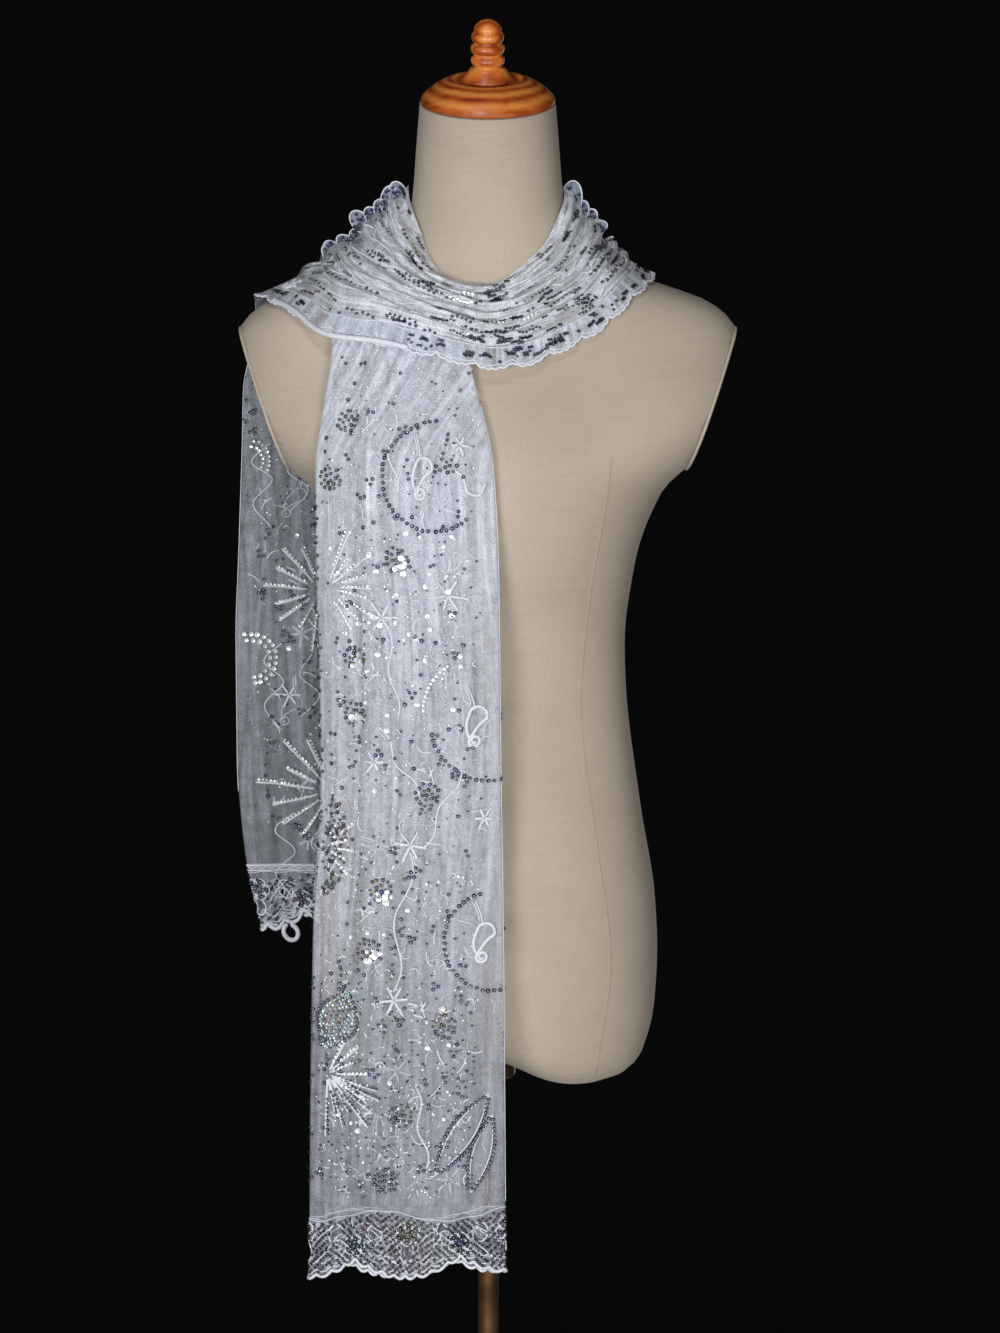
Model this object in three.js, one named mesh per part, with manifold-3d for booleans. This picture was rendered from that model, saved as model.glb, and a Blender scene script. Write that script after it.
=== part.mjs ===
// Evening stole on a dress form: a long sheer scarf wound once round the neck of a limbless linen form.
// Millimetres, +Z up. The form faces -Y, and the origin is under the middle of the base.
import * as THREE from "three";
import { mergeVertices } from "three/addons/utils/BufferGeometryUtils.js";
import Module from "manifold-3d";

const manifold = await Module();
manifold.setup();

// Sizes that the whole part shares.
const SEAM = 0.3; // gap between neighbouring pieces
const WALL = 1.2; // thickness of the net and the lace
const REST = WALL / 2 + SEAM; // from the middle of a wall to what it lies on

// Sizes of the dress form and its stand.
const FORM_SIDES = 34;
const FORM_LOWEST = 692;
const ARCH_RISE = 25; // how far the underside rises between the two thighs
const ARCH_HALF_WIDTH = 42;
const ARCH_FADE = 110; // height over which the rise dies out
const ARM_PLATE = { thickness: 2.5, lean: 19.8, middleX: 176, middleZ: 1248, reach: 100 };
const NECK_TOP = { y: -10, z: 1475, tilt: 15, tiltFrom: 1425 };
const CAP = { radius: 52.5, ring: 18.9, middle: 17 };
const POLE_RADIUS = 8.4;
const SOCKET = { radius: 22, bottom: 694, top: 708.8 };
const BASE = { radius: 165, thickness: 14, bossRadius: 26, bossHeight: 34 };
const SAME_POINT = 1e-3; // points closer than this are one
const ROUND_SIDES = 28;
const FINIAL_SIDES = 14;

// Sizes of the stole.
const HEM_DEPTH = 60; // wide lace on the short ends
const HEM_SCALLOP = 15; // depth of its scallops
const EDGE_LACE = 20; // narrow lace on the long edges
const EDGE_SCALLOP = 5;
const HEM_PITCH = 84; // from one hem scallop to the next
const TAIL_LAYERS = 3.5; // spacing of the layers of a folded tail
const NECK_AXIS_Y = 6; // the stole winds round a line this far behind the pole

const degrees = (angle) => (angle * Math.PI) / 180;
const mix = (from, to, share) => from + (to - from) * share;
const vector = (x, y, z) => new THREE.Vector3(x, y, z);
const steps = (from, to, count) => Array.from({ length: count + 1 }, (_, i) => mix(from, to, i / count));

// Rows of numbers under named columns.
function table(columns, rows) {
  return rows.map((row) => Object.fromEntries(columns.map((column, i) => [column, row[i]])));
}

// The row at any place along a table's key column: a smooth curve that never overshoots its rows.
function rowAt(rows, key, at) {
  const rising = rows[0][key] < rows.at(-1)[key];
  const sorted = rising ? rows : [...rows].reverse();
  const last = sorted.length - 1;
  const place = Math.min(Math.max(at, sorted[0][key]), sorted[last][key]);
  let i = 0;
  while (i < last - 1 && sorted[i + 1][key] < place) i += 1;
  const slopeOf = (k, column) =>
    (sorted[k + 1][column] - sorted[k][column]) / (sorted[k + 1][key] - sorted[k][key]);
  const tangentAt = (k, column) => {
    if (k === 0) return slopeOf(0, column);
    if (k === last) return slopeOf(last - 1, column);
    const before = slopeOf(k - 1, column);
    const after = slopeOf(k, column);
    return before * after <= 0 ? 0 : (2 * before * after) / (before + after);
  };
  const step = sorted[i + 1][key] - sorted[i][key];
  const t = (place - sorted[i][key]) / step;
  const result = {};
  for (const column of Object.keys(sorted[0])) {
    const from = sorted[i][column];
    const to = sorted[i + 1][column];
    const leave = tangentAt(i, column) * step;
    const arrive = tangentAt(i + 1, column) * step;
    const cubic = 2 * from - 2 * to + leave + arrive;
    const square = -3 * from + 3 * to - 2 * leave - arrive;
    result[column] = ((cubic * t + square) * t + leave) * t + from;
  }
  return result;
}

// A closed geometry from points and faces, turned to face outwards.
function solidFrom(points, faces) {
  let volume = 0;
  for (const [a, b, c] of faces) volume += points[a].dot(points[b].clone().cross(points[c]));
  const turned = volume < 0 ? faces.map(([a, b, c]) => [a, c, b]) : faces;
  const geometry = new THREE.BufferGeometry();
  geometry.setAttribute("position", new THREE.Float32BufferAttribute(points.flatMap((p) => p.toArray()), 3));
  geometry.setIndex(turned.flat());
  geometry.computeVertexNormals();
  return geometry;
}

function toManifold(geometry) {
  const bare = new THREE.BufferGeometry();
  bare.setAttribute("position", geometry.getAttribute("position").clone());
  bare.setIndex(geometry.index);
  const merged = mergeVertices(bare, SAME_POINT);
  return new manifold.Manifold(
    new manifold.Mesh({
      numProp: 3,
      vertProperties: merged.getAttribute("position").array,
      triVerts: new Uint32Array(merged.index.array),
    }),
  );
}

function fromManifold(solid) {
  const mesh = solid.getMesh();
  const geometry = new THREE.BufferGeometry();
  geometry.setAttribute("position", new THREE.Float32BufferAttribute(mesh.vertProperties, 3));
  geometry.setIndex(Array.from(mesh.triVerts));
  geometry.computeVertexNormals();
  return geometry;
}

// Dress form

// Level sections of the body from its underside to the neck's top: a rounded box between front and back.
const FORM_SECTIONS = table(
  ["height", "halfWidth", "front", "back", "roundness"],
  [
    [692, 74, -34, 42, 2.1],
    [695, 98, -50, 60, 2.2],
    [702, 113, -66, 78, 2.3],
    [716, 125, -78, 92, 2.3],
    [757, 135, -88, 106, 2.3],
    [798, 137, -93, 113, 2.3],
    [840, 135, -94, 112, 2.3],
    [922, 122, -90, 95, 2.3],
    [1019, 110, -83, 79, 2.3],
    [1051, 109, -86, 80, 2.3],
    [1116, 117, -102, 92, 2.3],
    [1172, 138, -111, 102, 2.3],
    [1203, 172, -106, 105, 2.3],
    [1230, 196, -98, 105, 2.3],
    [1260, 203, -87, 103, 2.25],
    [1294, 198.5, -73, 98, 2.2],
    [1310, 188.5, -66, 94, 2.2],
    [1323, 169, -60, 90, 2.2],
    [1336, 131, -55, 86, 2.15],
    [1350, 97, -50, 80, 2.1],
    [1362, 76, -48, 74, 2.1],
    [1376, 65, -48, 69, 2.05],
    [1405, 59, -50, 60, 2.05],
    [1440, 56, -57, 50, 2],
    [1475, 53, -63, 43, 2],
  ],
);

function formSection(height) {
  const row = rowAt(FORM_SECTIONS, "height", height);
  return { ...row, middle: (row.front + row.back) / 2, halfDepth: (row.back - row.front) / 2 };
}

const signedPower = (value, power) => Math.sign(value) * Math.abs(value) ** power;

// One ring of the body: arched on its underside, level through the trunk, tilted towards the neck's top.
function formRing(height) {
  const { halfWidth, middle, halfDepth, roundness } = formSection(height);
  const arch = ARCH_RISE * Math.max(0, 1 - (height - FORM_LOWEST) / ARCH_FADE);
  const tiltShare = THREE.MathUtils.smoothstep(height, NECK_TOP.tiltFrom, NECK_TOP.z);
  const tilt = Math.tan(degrees(NECK_TOP.tilt)) * tiltShare;
  return Array.from({ length: FORM_SIDES }, (_, side) => {
    const angle = (2 * Math.PI * side) / FORM_SIDES;
    const x = halfWidth * signedPower(Math.cos(angle), 2 / roundness);
    const y = middle + halfDepth * signedPower(Math.sin(angle), 2 / roundness);
    const lift = arch * Math.exp(-((x / ARCH_HALF_WIDTH) ** 2));
    return vector(x, y, height + lift + (y - middle) * tilt);
  });
}

// A stack of rings closed at both ends by a fan round a tip.
function loft(rings, lowTip, highTip) {
  const sides = rings[0].length;
  const points = rings.flat();
  const faces = [];
  for (let ring = 0; ring + 1 < rings.length; ring += 1) {
    for (let side = 0; side < sides; side += 1) {
      const next = (side + 1) % sides;
      const [a, b] = [ring * sides + side, ring * sides + next];
      faces.push([a, b, b + sides], [a, b + sides, a + sides]);
    }
  }
  const top = (rings.length - 1) * sides;
  points.push(lowTip, highTip);
  for (let side = 0; side < sides; side += 1) {
    const next = (side + 1) % sides;
    faces.push([points.length - 2, next, side], [points.length - 1, top + side, top + next]);
  }
  return solidFrom(points, faces);
}

// How far the body's side lies from the winding axis, at a height and a bearing from +X.
function formReach(height, bearing) {
  const { halfWidth, middle, halfDepth, roundness } = formSection(height);
  const outside = (reach) => {
    const x = (reach * Math.cos(bearing)) / halfWidth;
    const y = (NECK_AXIS_Y + reach * Math.sin(bearing) - middle) / halfDepth;
    return Math.abs(x) ** roundness + Math.abs(y) ** roundness > 1;
  };
  let [inner, outer] = [0, halfWidth + halfDepth];
  while (outer - inner > SAME_POINT) {
    const reach = (inner + outer) / 2;
    if (outside(reach)) outer = reach;
    else inner = reach;
  }
  return outer;
}

// A slab of space beside the armhole, from one distance to another outwards from the plate's seat.
function armSlab(side, from, to) {
  const slab = new THREE.BoxGeometry(to - from, 2 * ARM_PLATE.reach, 2 * ARM_PLATE.reach);
  slab.deleteAttribute("normal").deleteAttribute("uv");
  slab.translate((from + to) / 2, 0, 0);
  slab.rotateY(degrees(ARM_PLATE.lean));
  slab.translate(ARM_PLATE.middleX, 0, ARM_PLATE.middleZ);
  if (side < 0) slab.rotateZ(Math.PI);
  return toManifold(slab);
}

function bodyLoft() {
  const rings = FORM_SECTIONS.map((row) => formRing(row.height));
  const underside = vector(0, formSection(FORM_LOWEST).middle, FORM_LOWEST + ARCH_RISE);
  return loft(rings, underside, vector(0, NECK_TOP.y, NECK_TOP.z));
}

// The body with its arms cut off flat, and the two plates that close the cuts.
function bodyPieces() {
  let torso = toManifold(bodyLoft());
  const plates = {};
  for (const [name, side] of [["arm_plate_left", -1], ["arm_plate_right", 1]]) {
    const plate = torso.intersect(armSlab(side, SEAM, SEAM + ARM_PLATE.thickness));
    plates[name] = fromManifold(plate);
    torso = torso.subtract(armSlab(side, 0, ARM_PLATE.reach));
  }
  return { torso: fromManifold(torso), ...plates };
}

// A turned piece from its profile of radius and height, standing on +Z.
function turned(profile, sides = ROUND_SIDES) {
  const points = profile.map(([radius, height]) => new THREE.Vector2(radius, height));
  return new THREE.LatheGeometry(points, sides).rotateX(Math.PI / 2);
}

// The cap's profile: a round rim, then a low cone.
const CAP_PROFILE = [
  [0, SEAM], [CAP.radius - 2, SEAM], [CAP.radius, 1.6], [CAP.radius, 3.4], [50, 6.4], [45, 11], [38, 15.6],
  [31, CAP.ring - 0.3], [27.5, CAP.ring], [26, CAP.middle], [0, CAP.middle],
];

// The finial's profile: a flared foot, then beads with grooves between them, and a rounded top.
const FINIAL_FOOT = CAP.middle + SEAM;
const FINIAL_BEADS = table(
  ["height", "radius", "half"],
  [
    [34, 13.2, 3.6],
    [43, 13.2, 3.6],
    [52, 12.6, 3.8],
  ],
);
const BEAD_ARC = table(
  ["across", "up"],
  [
    [-2.4, -1],
    [-0.6, -0.5],
    [0, 0],
    [-0.6, 0.5],
    [-2.4, 1],
  ],
);
function finialProfile() {
  const profile = [
    [0, FINIAL_FOOT], [18.5, FINIAL_FOOT], [19, 18.6], [18, 20.6], [15.8, 24], [13.8, 27.5], [12, 29],
  ];
  for (const bead of FINIAL_BEADS) {
    for (const { across, up } of BEAD_ARC) {
      profile.push([bead.radius + across, bead.height + up * bead.half]);
    }
  }
  return [...profile, [10.5, 58.5], [8, 62.5], [4.5, 65], [0, 66]];
}

const SOCKET_PROFILE = [
  [0, SOCKET.bottom], [18, SOCKET.bottom], [SOCKET.radius, SOCKET.bottom + 3], [SOCKET.radius, SOCKET.top],
  [0, SOCKET.top],
];
const POLE_PROFILE = [
  [0, BASE.bossHeight + SEAM], [POLE_RADIUS, BASE.bossHeight + SEAM], [POLE_RADIUS, SOCKET.bottom - SEAM],
  [0, SOCKET.bottom - SEAM],
];
const BASE_PROFILE = [
  [0, 0], [BASE.radius - 3, 0], [BASE.radius, 3], [BASE.radius, BASE.thickness - 5],
  [BASE.radius - 5, BASE.thickness], [BASE.bossRadius + 14, BASE.thickness + 3],
  [BASE.bossRadius, BASE.thickness + 9], [BASE.bossRadius - 7, BASE.bossHeight - 3],
  [BASE.bossRadius - 9, BASE.bossHeight], [0, BASE.bossHeight],
];

// Stole: each stretch is a route of sections. A section runs from the outer long edge to the inner one,
// the edge nearer to the neck, and its folds stand out from the line between the two.

// Stretches round the neck, by the turn from the left shoulder's crest round the back: how far the outer edge
// reaches from the winding axis and how high it is, how high the inner edge is on the neck and how far off,
// how far the section swells, and how high its folds stand.
const WINDING = ["turn", "reach", "outerHeight", "neckHeight", "neckStand", "swell", "fold"];
const NAPE_SECTIONS = table(WINDING, [
  [0, 128, 1349, 1391, 8, -6, 0.5],
  [30, 130, 1333, 1402, 4, -1, 0.7],
  [60, 107, 1320, 1414, REST, 6, 1],
  [90, 97, 1312, 1418, 1.4, 8, 1],
  [120, 107, 1320, 1416, 1.4, 1, 1],
  [150, 130, 1332, 1413, REST, -5, 0.9],
  [180, 133, 1341, 1410, 1.4, -8, 0.7],
]);
const BAND_SECTIONS = table(WINDING, [
  [180, 133, 1341, 1410, 1.4, -8, 0.7],
  [202, 128, 1327, 1393, 1.8, -4, 0.9],
  [220, 114, 1299, 1372, 1.8, 2, 1],
  [240, 102, 1281, 1354, 1.8, 6, 1],
  [257, 100, 1272, 1341, 1.4, 6, 0.9],
  [270, 102, 1271, 1336, REST, 7, 0.9],
  [285, 108, 1277, 1337, 1.4, 10, 0.9],
  [300, 117, 1284, 1343, 2, 13, 1],
  [312, 127, 1290, 1356, 3, 14, 1],
  [328, 149, 1297, 1381, 4, 9, 1],
  [342, 160, 1311, 1398, 4, 4, 0.9],
  [352, 173, 1320, 1408, 4, -6, 0.8],
  [360, 186, 1325, 1412, 4, -11, 0.8],
]);

// Hanging stretches, in order along the cloth: the places of the two long edges, how far the section swells,
// and how high its folds stand.
const HANGING = ["outerX", "outerY", "outerZ", "innerX", "innerY", "innerZ", "swell", "fold"];
const FRONT_TAIL_SECTIONS = table(HANGING, [
  [-142, -101, 546, 14, -124, 559, 7, 0.4],
  [-140, -101, 703, 13, -124, 707, 7, 0.4],
  [-137, -101, 831, 12, -124, 833, 8, 0.5],
  [-130, -100, 973, 10, -124, 973, 9, 0.6],
  [-131, -98, 1067, 9, -124, 1067, 10, 0.6],
  [-133, -94, 1128, 8, -123, 1128, 11, 0.7],
  [-133, -91, 1197, 4, -118, 1199, 11, 0.8],
  [-126, -87, 1249, -7, -101, 1252, 7, 0.9],
  [-121, -76, 1283, -18, -88, 1289, 5, 0.9],
  [-121, -63, 1318, -46, -68, 1325, 4, 0.6],
  [-122, -33, 1343, -58, -49, 1355, 3, 0.5],
]);
const BACK_TAIL_SECTIONS = table(HANGING, [
  [-187, 42, 1320, -72, 46, 1404, -7, 0.8],
  [-190, 82, 1294, -66, 92, 1374, 2, 0.7],
  [-201, 104, 1246, -54, 117, 1304, 4, 0.8],
  [-203, 111, 1197, -40, 122, 1222, 4, 0.9],
  [-207, 113, 1106, -30, 123, 1114, 3, 0.9],
  [-210, 114, 1035, -26, 124, 1037, 3, 0.8],
  [-210, 114, 935, -20, 126, 935, 3, 0.8],
  [-205, 114, 862, -14, 129, 858, 3, 0.6],
  [-189, 114, 782, -8, 130, 774, 3, 0.5],
]);

// The folds of each stretch: where a ridge runs between the outer edge (0) and the inner one (1), how far it
// shifts over towards the end of the stretch, its half width as a share of the section, and its height.
const FOLD = ["place", "drift", "half", "height"];
const BAND_FOLDS = table(FOLD, [
  [0.32, 0.02, 0.07, 6],
  [0.44, 0.03, 0.06, 8],
  [0.56, -0.03, 0.07, 7],
  [0.68, 0.02, 0.06, 8],
  [0.79, -0.02, 0.06, 6],
  [0.9, -0.02, 0.06, 6],
]);
const NAPE_FOLDS = table(FOLD, [
  [0.31, 0.02, 0.07, 6],
  [0.44, -0.02, 0.07, 7],
  [0.57, 0.02, 0.07, 6],
  [0.69, -0.02, 0.06, 6],
]);
const FRONT_TAIL_FOLDS = table(FOLD, [
  [0.11, -0.01, 0.07, 3],
  [0.3, 0.03, 0.11, 4],
  [0.47, -0.03, 0.06, 3],
  [0.63, 0.03, 0.1, 4],
  [0.85, -0.01, 0.09, 3],
]);
const BACK_TAIL_FOLDS = table(FOLD, [
  [0.2, -0.04, 0.1, 5],
  [0.36, 0.05, 0.09, 6],
  [0.53, -0.02, 0.1, 5],
  [0.7, 0.03, 0.08, 6],
  [0.86, 0.02, 0.09, 5],
]);

// The layers that a section's line runs through, in order: the shares across where a run starts and ends, and
// the layer that it lies in, counted down from the one that shows.
const RUN = ["from", "to", "layer"];
const OPEN_RUNS = table(RUN, [[0, 1, 0]]);
const DOUBLE_RUNS = table(RUN, [[0.97, 0, 1], [0, 1, 0]]);
const TRIPLE_RUNS = table(RUN, [[0.92, 0, 2], [0, 1, 0], [1, 0.08, 1]]);
const RUN_POINTS = 40;
const TURN_POINTS = 6;
const MEASURE_STEPS = 50; // steps by which a stretch is measured
const HEADING_STEP = 0.004; // share of a stretch over which its heading is read
const HEADING_SHARE = 0.06; // share of a hanging stretch over which its heading turns to the neck's

function windingSection(rows, turn) {
  const row = rowAt(rows, "turn", turn);
  const bearing = degrees(180 - turn);
  const around = (reach, height) =>
    vector(reach * Math.cos(bearing), NECK_AXIS_Y + reach * Math.sin(bearing), height);
  const neckReach = formReach(row.neckHeight, bearing) + row.neckStand;
  const inner = around(neckReach, row.neckHeight);
  const heading = vector(Math.sin(bearing), -Math.cos(bearing), 0);
  return { outer: around(row.reach, row.outerHeight), inner, heading, swell: row.swell, fold: row.fold };
}

// A neck section written as a row of a hanging stretch, so that the two meet.
function hangingRow({ outer, inner, swell, fold }) {
  const [outerX, outerY, outerZ] = outer.toArray();
  const [innerX, innerY, innerZ] = inner.toArray();
  return { outerX, outerY, outerZ, innerX, innerY, innerZ, swell, fold };
}

// A hanging route, measured along the middles of its sections. It takes the neck's heading where it joins it.
function hangingRoute(rows, joinAt, joinHeading) {
  let along = 0;
  let last = null;
  const measured = rows.map((row) => {
    const outer = vector(row.outerX, row.outerY, row.outerZ);
    const inner = vector(row.innerX, row.innerY, row.innerZ);
    const middle = outer.add(inner).divideScalar(2);
    along += last ? last.distanceTo(middle) : 0;
    last = middle;
    return { along, ...row };
  });
  return (t) => {
    const row = rowAt(measured, "along", t * along);
    const outer = vector(row.outerX, row.outerY, row.outerZ);
    const inner = vector(row.innerX, row.innerY, row.innerZ);
    const joined = 1 - THREE.MathUtils.smoothstep(Math.abs(t - joinAt), 0, HEADING_SHARE);
    return { outer, inner, joinHeading, joined, swell: row.swell, fold: row.fold };
  };
}

const napeRoute = (t) => windingSection(NAPE_SECTIONS, 180 * t);
const bandRoute = (t) => windingSection(BAND_SECTIONS, 180 + 180 * t);
const napeStart = napeRoute(0);
const bandEnd = bandRoute(1);
const frontTailRoute = hangingRoute([...FRONT_TAIL_SECTIONS, hangingRow(napeStart)], 1, napeStart.heading);
const backTailRoute = hangingRoute([hangingRow(bandEnd), ...BACK_TAIL_SECTIONS], 0, bandEnd.heading);

// The pieces of a section's line in millimetres: its runs, with round turns from each to the next.
function linePieces(runs, width) {
  const turnRadius = (k) => (Math.abs(runs[k].layer - runs[k + 1].layer) * TAIL_LAYERS) / 2;
  const pieces = [];
  runs.forEach((run, k) => {
    const heading = Math.sign(run.to - run.from);
    const out = -run.layer * TAIL_LAYERS;
    const start = run.from * width + (k > 0 ? heading * turnRadius(k - 1) : 0);
    const end = run.to * width - (k + 1 < runs.length ? heading * turnRadius(k) : 0);
    pieces.push(steps(start, end, RUN_POINTS).map((a) => [a, out]));
    if (k + 1 === runs.length) return;
    const radius = turnRadius(k);
    const rise = Math.sign(run.layer - runs[k + 1].layer);
    pieces.push(
      steps(-90, 90, TURN_POINTS).map((angle) => {
        const [ahead, up] = [Math.cos(degrees(angle)), Math.sin(degrees(angle))];
        return [end + heading * radius * ahead, out + rise * radius * (1 + up)];
      }),
    );
  });
  return pieces;
}

function foldHeight(folds, share, t) {
  let height = 0;
  for (const fold of folds) {
    const away = Math.abs(share - fold.place - fold.drift * (2 * t - 1)) / fold.half;
    if (away < 1) height += fold.height * Math.cos((away * Math.PI) / 2) ** 2;
  }
  return height;
}

// A stretch of cloth: its middle surface at any place along it and across it, with the way out from it.
class Stretch {
  constructor({ route, runs, foldAt }) {
    Object.assign(this, { route, runs, foldAt });
    this.sections = new Map();
    const middles = steps(0, 1, MEASURE_STEPS).map((t) => this.middle(t));
    this.length = 0;
    middles.slice(1).forEach((middle, i) => (this.length += middle.distanceTo(middles[i])));
  }

  middle(t) {
    const { outer, inner } = this.route(t);
    return outer.add(inner).divideScalar(2);
  }

  headingAt(t) {
    const { heading, joinHeading, joined } = this.route(t);
    if (heading) return heading;
    const [before, after] = [Math.max(0, t - HEADING_STEP), Math.min(1, t + HEADING_STEP)];
    const along = this.middle(after).sub(this.middle(before)).normalize();
    return along.lerp(joinHeading, joined).normalize();
  }

  // The section at a place along the stretch: its line with its folds, and the lengths where its pieces end.
  section(t) {
    if (this.sections.has(t)) return this.sections.get(t);
    const { outer, inner, swell, fold } = this.route(t);
    const width = outer.distanceTo(inner);
    const across = inner.clone().sub(outer).normalize();
    const out = across.clone().cross(this.headingAt(t)).normalize();
    const path = [];
    const lengths = [];
    const ends = [0];
    for (const piece of linePieces(this.runs, width)) {
      for (const [a, b] of piece) {
        const share = THREE.MathUtils.clamp(a / width, 0, 1);
        const bulge = swell * 4 * share * (1 - share);
        const point = new THREE.Vector2(a, b + bulge + fold * this.foldAt(share, t));
        const gap = path.length ? point.distanceTo(path.at(-1)) : 0;
        if (path.length && gap < SAME_POINT) continue;
        lengths.push(path.length ? lengths.at(-1) + gap : 0);
        path.push(point);
      }
      ends.push(lengths.at(-1));
    }
    const made = { outer, across, out, path, lengths, ends, total: lengths.at(-1) };
    this.sections.set(t, made);
    return made;
  }

  // A point at a share along the stretch and a length across the cloth, moved off the middle surface.
  point(t, length, offset) {
    const { outer, across, out, path, lengths } = this.section(t);
    let i = 1;
    while (i < path.length - 1 && lengths[i] < length) i += 1;
    const share = (length - lengths[i - 1]) / (lengths[i] - lengths[i - 1]);
    const place = path[i - 1].clone().lerp(path[i], share);
    const before = path[Math.max(0, i - 2)];
    const after = path[Math.min(path.length - 1, i + 1)];
    const heading = after.clone().sub(before).normalize();
    const a = place.x - heading.y * offset;
    const b = place.y + heading.x * offset;
    return outer.clone().addScaledVector(across, a).addScaledVector(out, b);
  }
}

// A wall through two like grids of points, one on each face, with some of the grid's cells left open.
function wall(outside, inside, isOpen = () => false) {
  const rows = outside.length - 1;
  const columns = outside[0].length - 1;
  const points = [...outside.flat(), ...inside.flat()];
  const under = outside.length * outside[0].length;
  const at = (row, column) => row * (columns + 1) + column;
  const filled = (row, column) =>
    row >= 0 && column >= 0 && row < rows && column < columns && !isOpen(row, column);
  const faces = [];
  const quad = (a, b, c, d) => faces.push([a, b, c], [a, c, d]);
  for (let row = 0; row < rows; row += 1) {
    for (let column = 0; column < columns; column += 1) {
      if (!filled(row, column)) continue;
      const [a, b] = [at(row, column), at(row, column + 1)];
      const [d, c] = [at(row + 1, column), at(row + 1, column + 1)];
      quad(a, b, c, d);
      quad(a + under, d + under, c + under, b + under);
      const rim = (from, to) => quad(to, from, from + under, to + under);
      if (!filled(row - 1, column)) rim(a, b);
      if (!filled(row, column + 1)) rim(b, c);
      if (!filled(row + 1, column)) rim(c, d);
      if (!filled(row, column - 1)) rim(d, a);
    }
  }
  const used = new Map();
  const kept = [];
  const renumber = (i) => {
    if (!used.has(i)) used.set(i, kept.push(points[i]) - 1);
    return used.get(i);
  };
  const renumbered = faces.map((face) => face.map(renumber));
  return solidFrom(kept, renumbered);
}

function bothFaces(stretch, places, isOpen) {
  const face = (offset) => places.map((row) => row.map(([t, length]) => stretch.point(t, length, offset)));
  return wall(face(WALL / 2), face(-WALL / 2), isOpen);
}

// Lengths across a section at which a wall has its columns: even steps in each run, a few in each turn.
function columnLengths({ ends, total }, cells, outerTrim, innerTrim) {
  const marks = ends.map((end) => THREE.MathUtils.clamp(end, outerTrim, total - innerTrim));
  return cells.flatMap((count, piece) => {
    const lengths = steps(marks[piece], marks[piece + 1], count);
    return piece === 0 ? lengths : lengths.slice(1);
  });
}

// The net between two places along a stretch, in from its long edges where lace is sewn on.
function netWall(stretch, { stations, cells, outerTrim = 0, innerTrim = 0 }) {
  const places = stations.map((t) =>
    columnLengths(stretch.section(t), cells, outerTrim, innerTrim).map((length) => [t, length]),
  );
  return bothFaces(stretch, places);
}

// Depth of a row of scallops at a place along it: 0 in the notches and 1 at the middle of each.
const HEM_POINTED = 0.9; // the hem's scallops are nearly pointed, and those of the narrow lace are round
const EDGE_POINTED = 0.5;
const scallop = (place, pointed) => Math.abs(Math.sin(Math.PI * place)) ** pointed;

// The wide lace below a tail's hem: scalloped below, with the flower gaps of each scallop cut through.
const HEM_ROWS = 4;
const HEM_GAPS = table(
  ["row", "from", "to"],
  [
    [1, 0.12, 0.25],
    [1, 0.75, 0.88],
    [2, 0.44, 0.56],
  ],
);
const NARROWEST_CELL = 4;
function hemLace(stretch, { seam, way, phase, cells }) {
  const section = stretch.section(seam);
  const lengths = columnLengths(section, cells, 0, 0);
  const placeOf = (length) => length / HEM_PITCH + phase;
  const places = steps(0, 1, HEM_ROWS).map((down) =>
    lengths.map((length) => {
      const depth = HEM_DEPTH - HEM_SCALLOP * (1 - scallop(placeOf(length), HEM_POINTED));
      const t = seam + (way * mix(SEAM, depth, down)) / stretch.length;
      return [t, (length * stretch.section(t).total) / section.total];
    }),
  );
  const isOpen = (row, column) => {
    const [left, right] = [lengths[column], lengths[column + 1]];
    const place = THREE.MathUtils.euclideanModulo(placeOf((left + right) / 2), 1);
    const isGap = HEM_GAPS.some((gap) => gap.row === row && place > gap.from && place < gap.to);
    return right - left > NARROWEST_CELL && isGap;
  };
  return bothFaces(stretch, places, isOpen);
}

// The narrow scalloped lace along one long edge of a stretch, sewn to the straight steps of the net's edge.
const EDGE_CELL = 7.5;
const EDGE_CELLS = 4; // cells to a scallop
function edgeLace(stretch, { stations, edge }) {
  const stepCells = Math.round(((stations[1] - stations[0]) * stretch.length) / EDGE_CELL);
  const cells = stepCells * (stations.length - 1);
  const offEdge = (t, off, offset) => {
    const length = edge === "outer" ? off : stretch.section(t).total - off;
    return stretch.point(t, length, offset);
  };
  const pointAt = (cell, off, offset) => {
    const step = Math.min(Math.floor(cell / stepCells), stations.length - 2);
    const start = offEdge(stations[step], off, offset);
    return start.lerp(offEdge(stations[step + 1], off, offset), cell / stepCells - step);
  };
  const tipOff = (cell) => EDGE_SCALLOP * (1 - scallop(cell / EDGE_CELLS, EDGE_POINTED));
  const face = (offset) => [
    steps(0, cells, cells).map((cell) => pointAt(cell, EDGE_LACE - SEAM, offset)),
    steps(0, cells, cells).map((cell) => pointAt(cell, tipOff(cell), offset)),
  ];
  return wall(face(WALL / 2), face(-WALL / 2));
}

// Folds of a hanging stretch, which take up those of the neck stretch that it joins.
const JOINING = 0.25; // share of the hanging stretch over which they do
const frontTailFolds = (share, t) => {
  const joined = THREE.MathUtils.smoothstep(t, 1 - JOINING, 1);
  return mix(foldHeight(FRONT_TAIL_FOLDS, share, t), foldHeight(NAPE_FOLDS, share, 0), joined);
};
const backTailFolds = (share, t) => {
  const joined = 1 - THREE.MathUtils.smoothstep(t, 0, JOINING);
  return mix(foldHeight(BACK_TAIL_FOLDS, share, t), foldHeight(BAND_FOLDS, share, 1), joined);
};
const napeFolds = (share, t) => foldHeight(NAPE_FOLDS, share, t);
const bandFolds = (share, t) => foldHeight(BAND_FOLDS, share, t);

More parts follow.
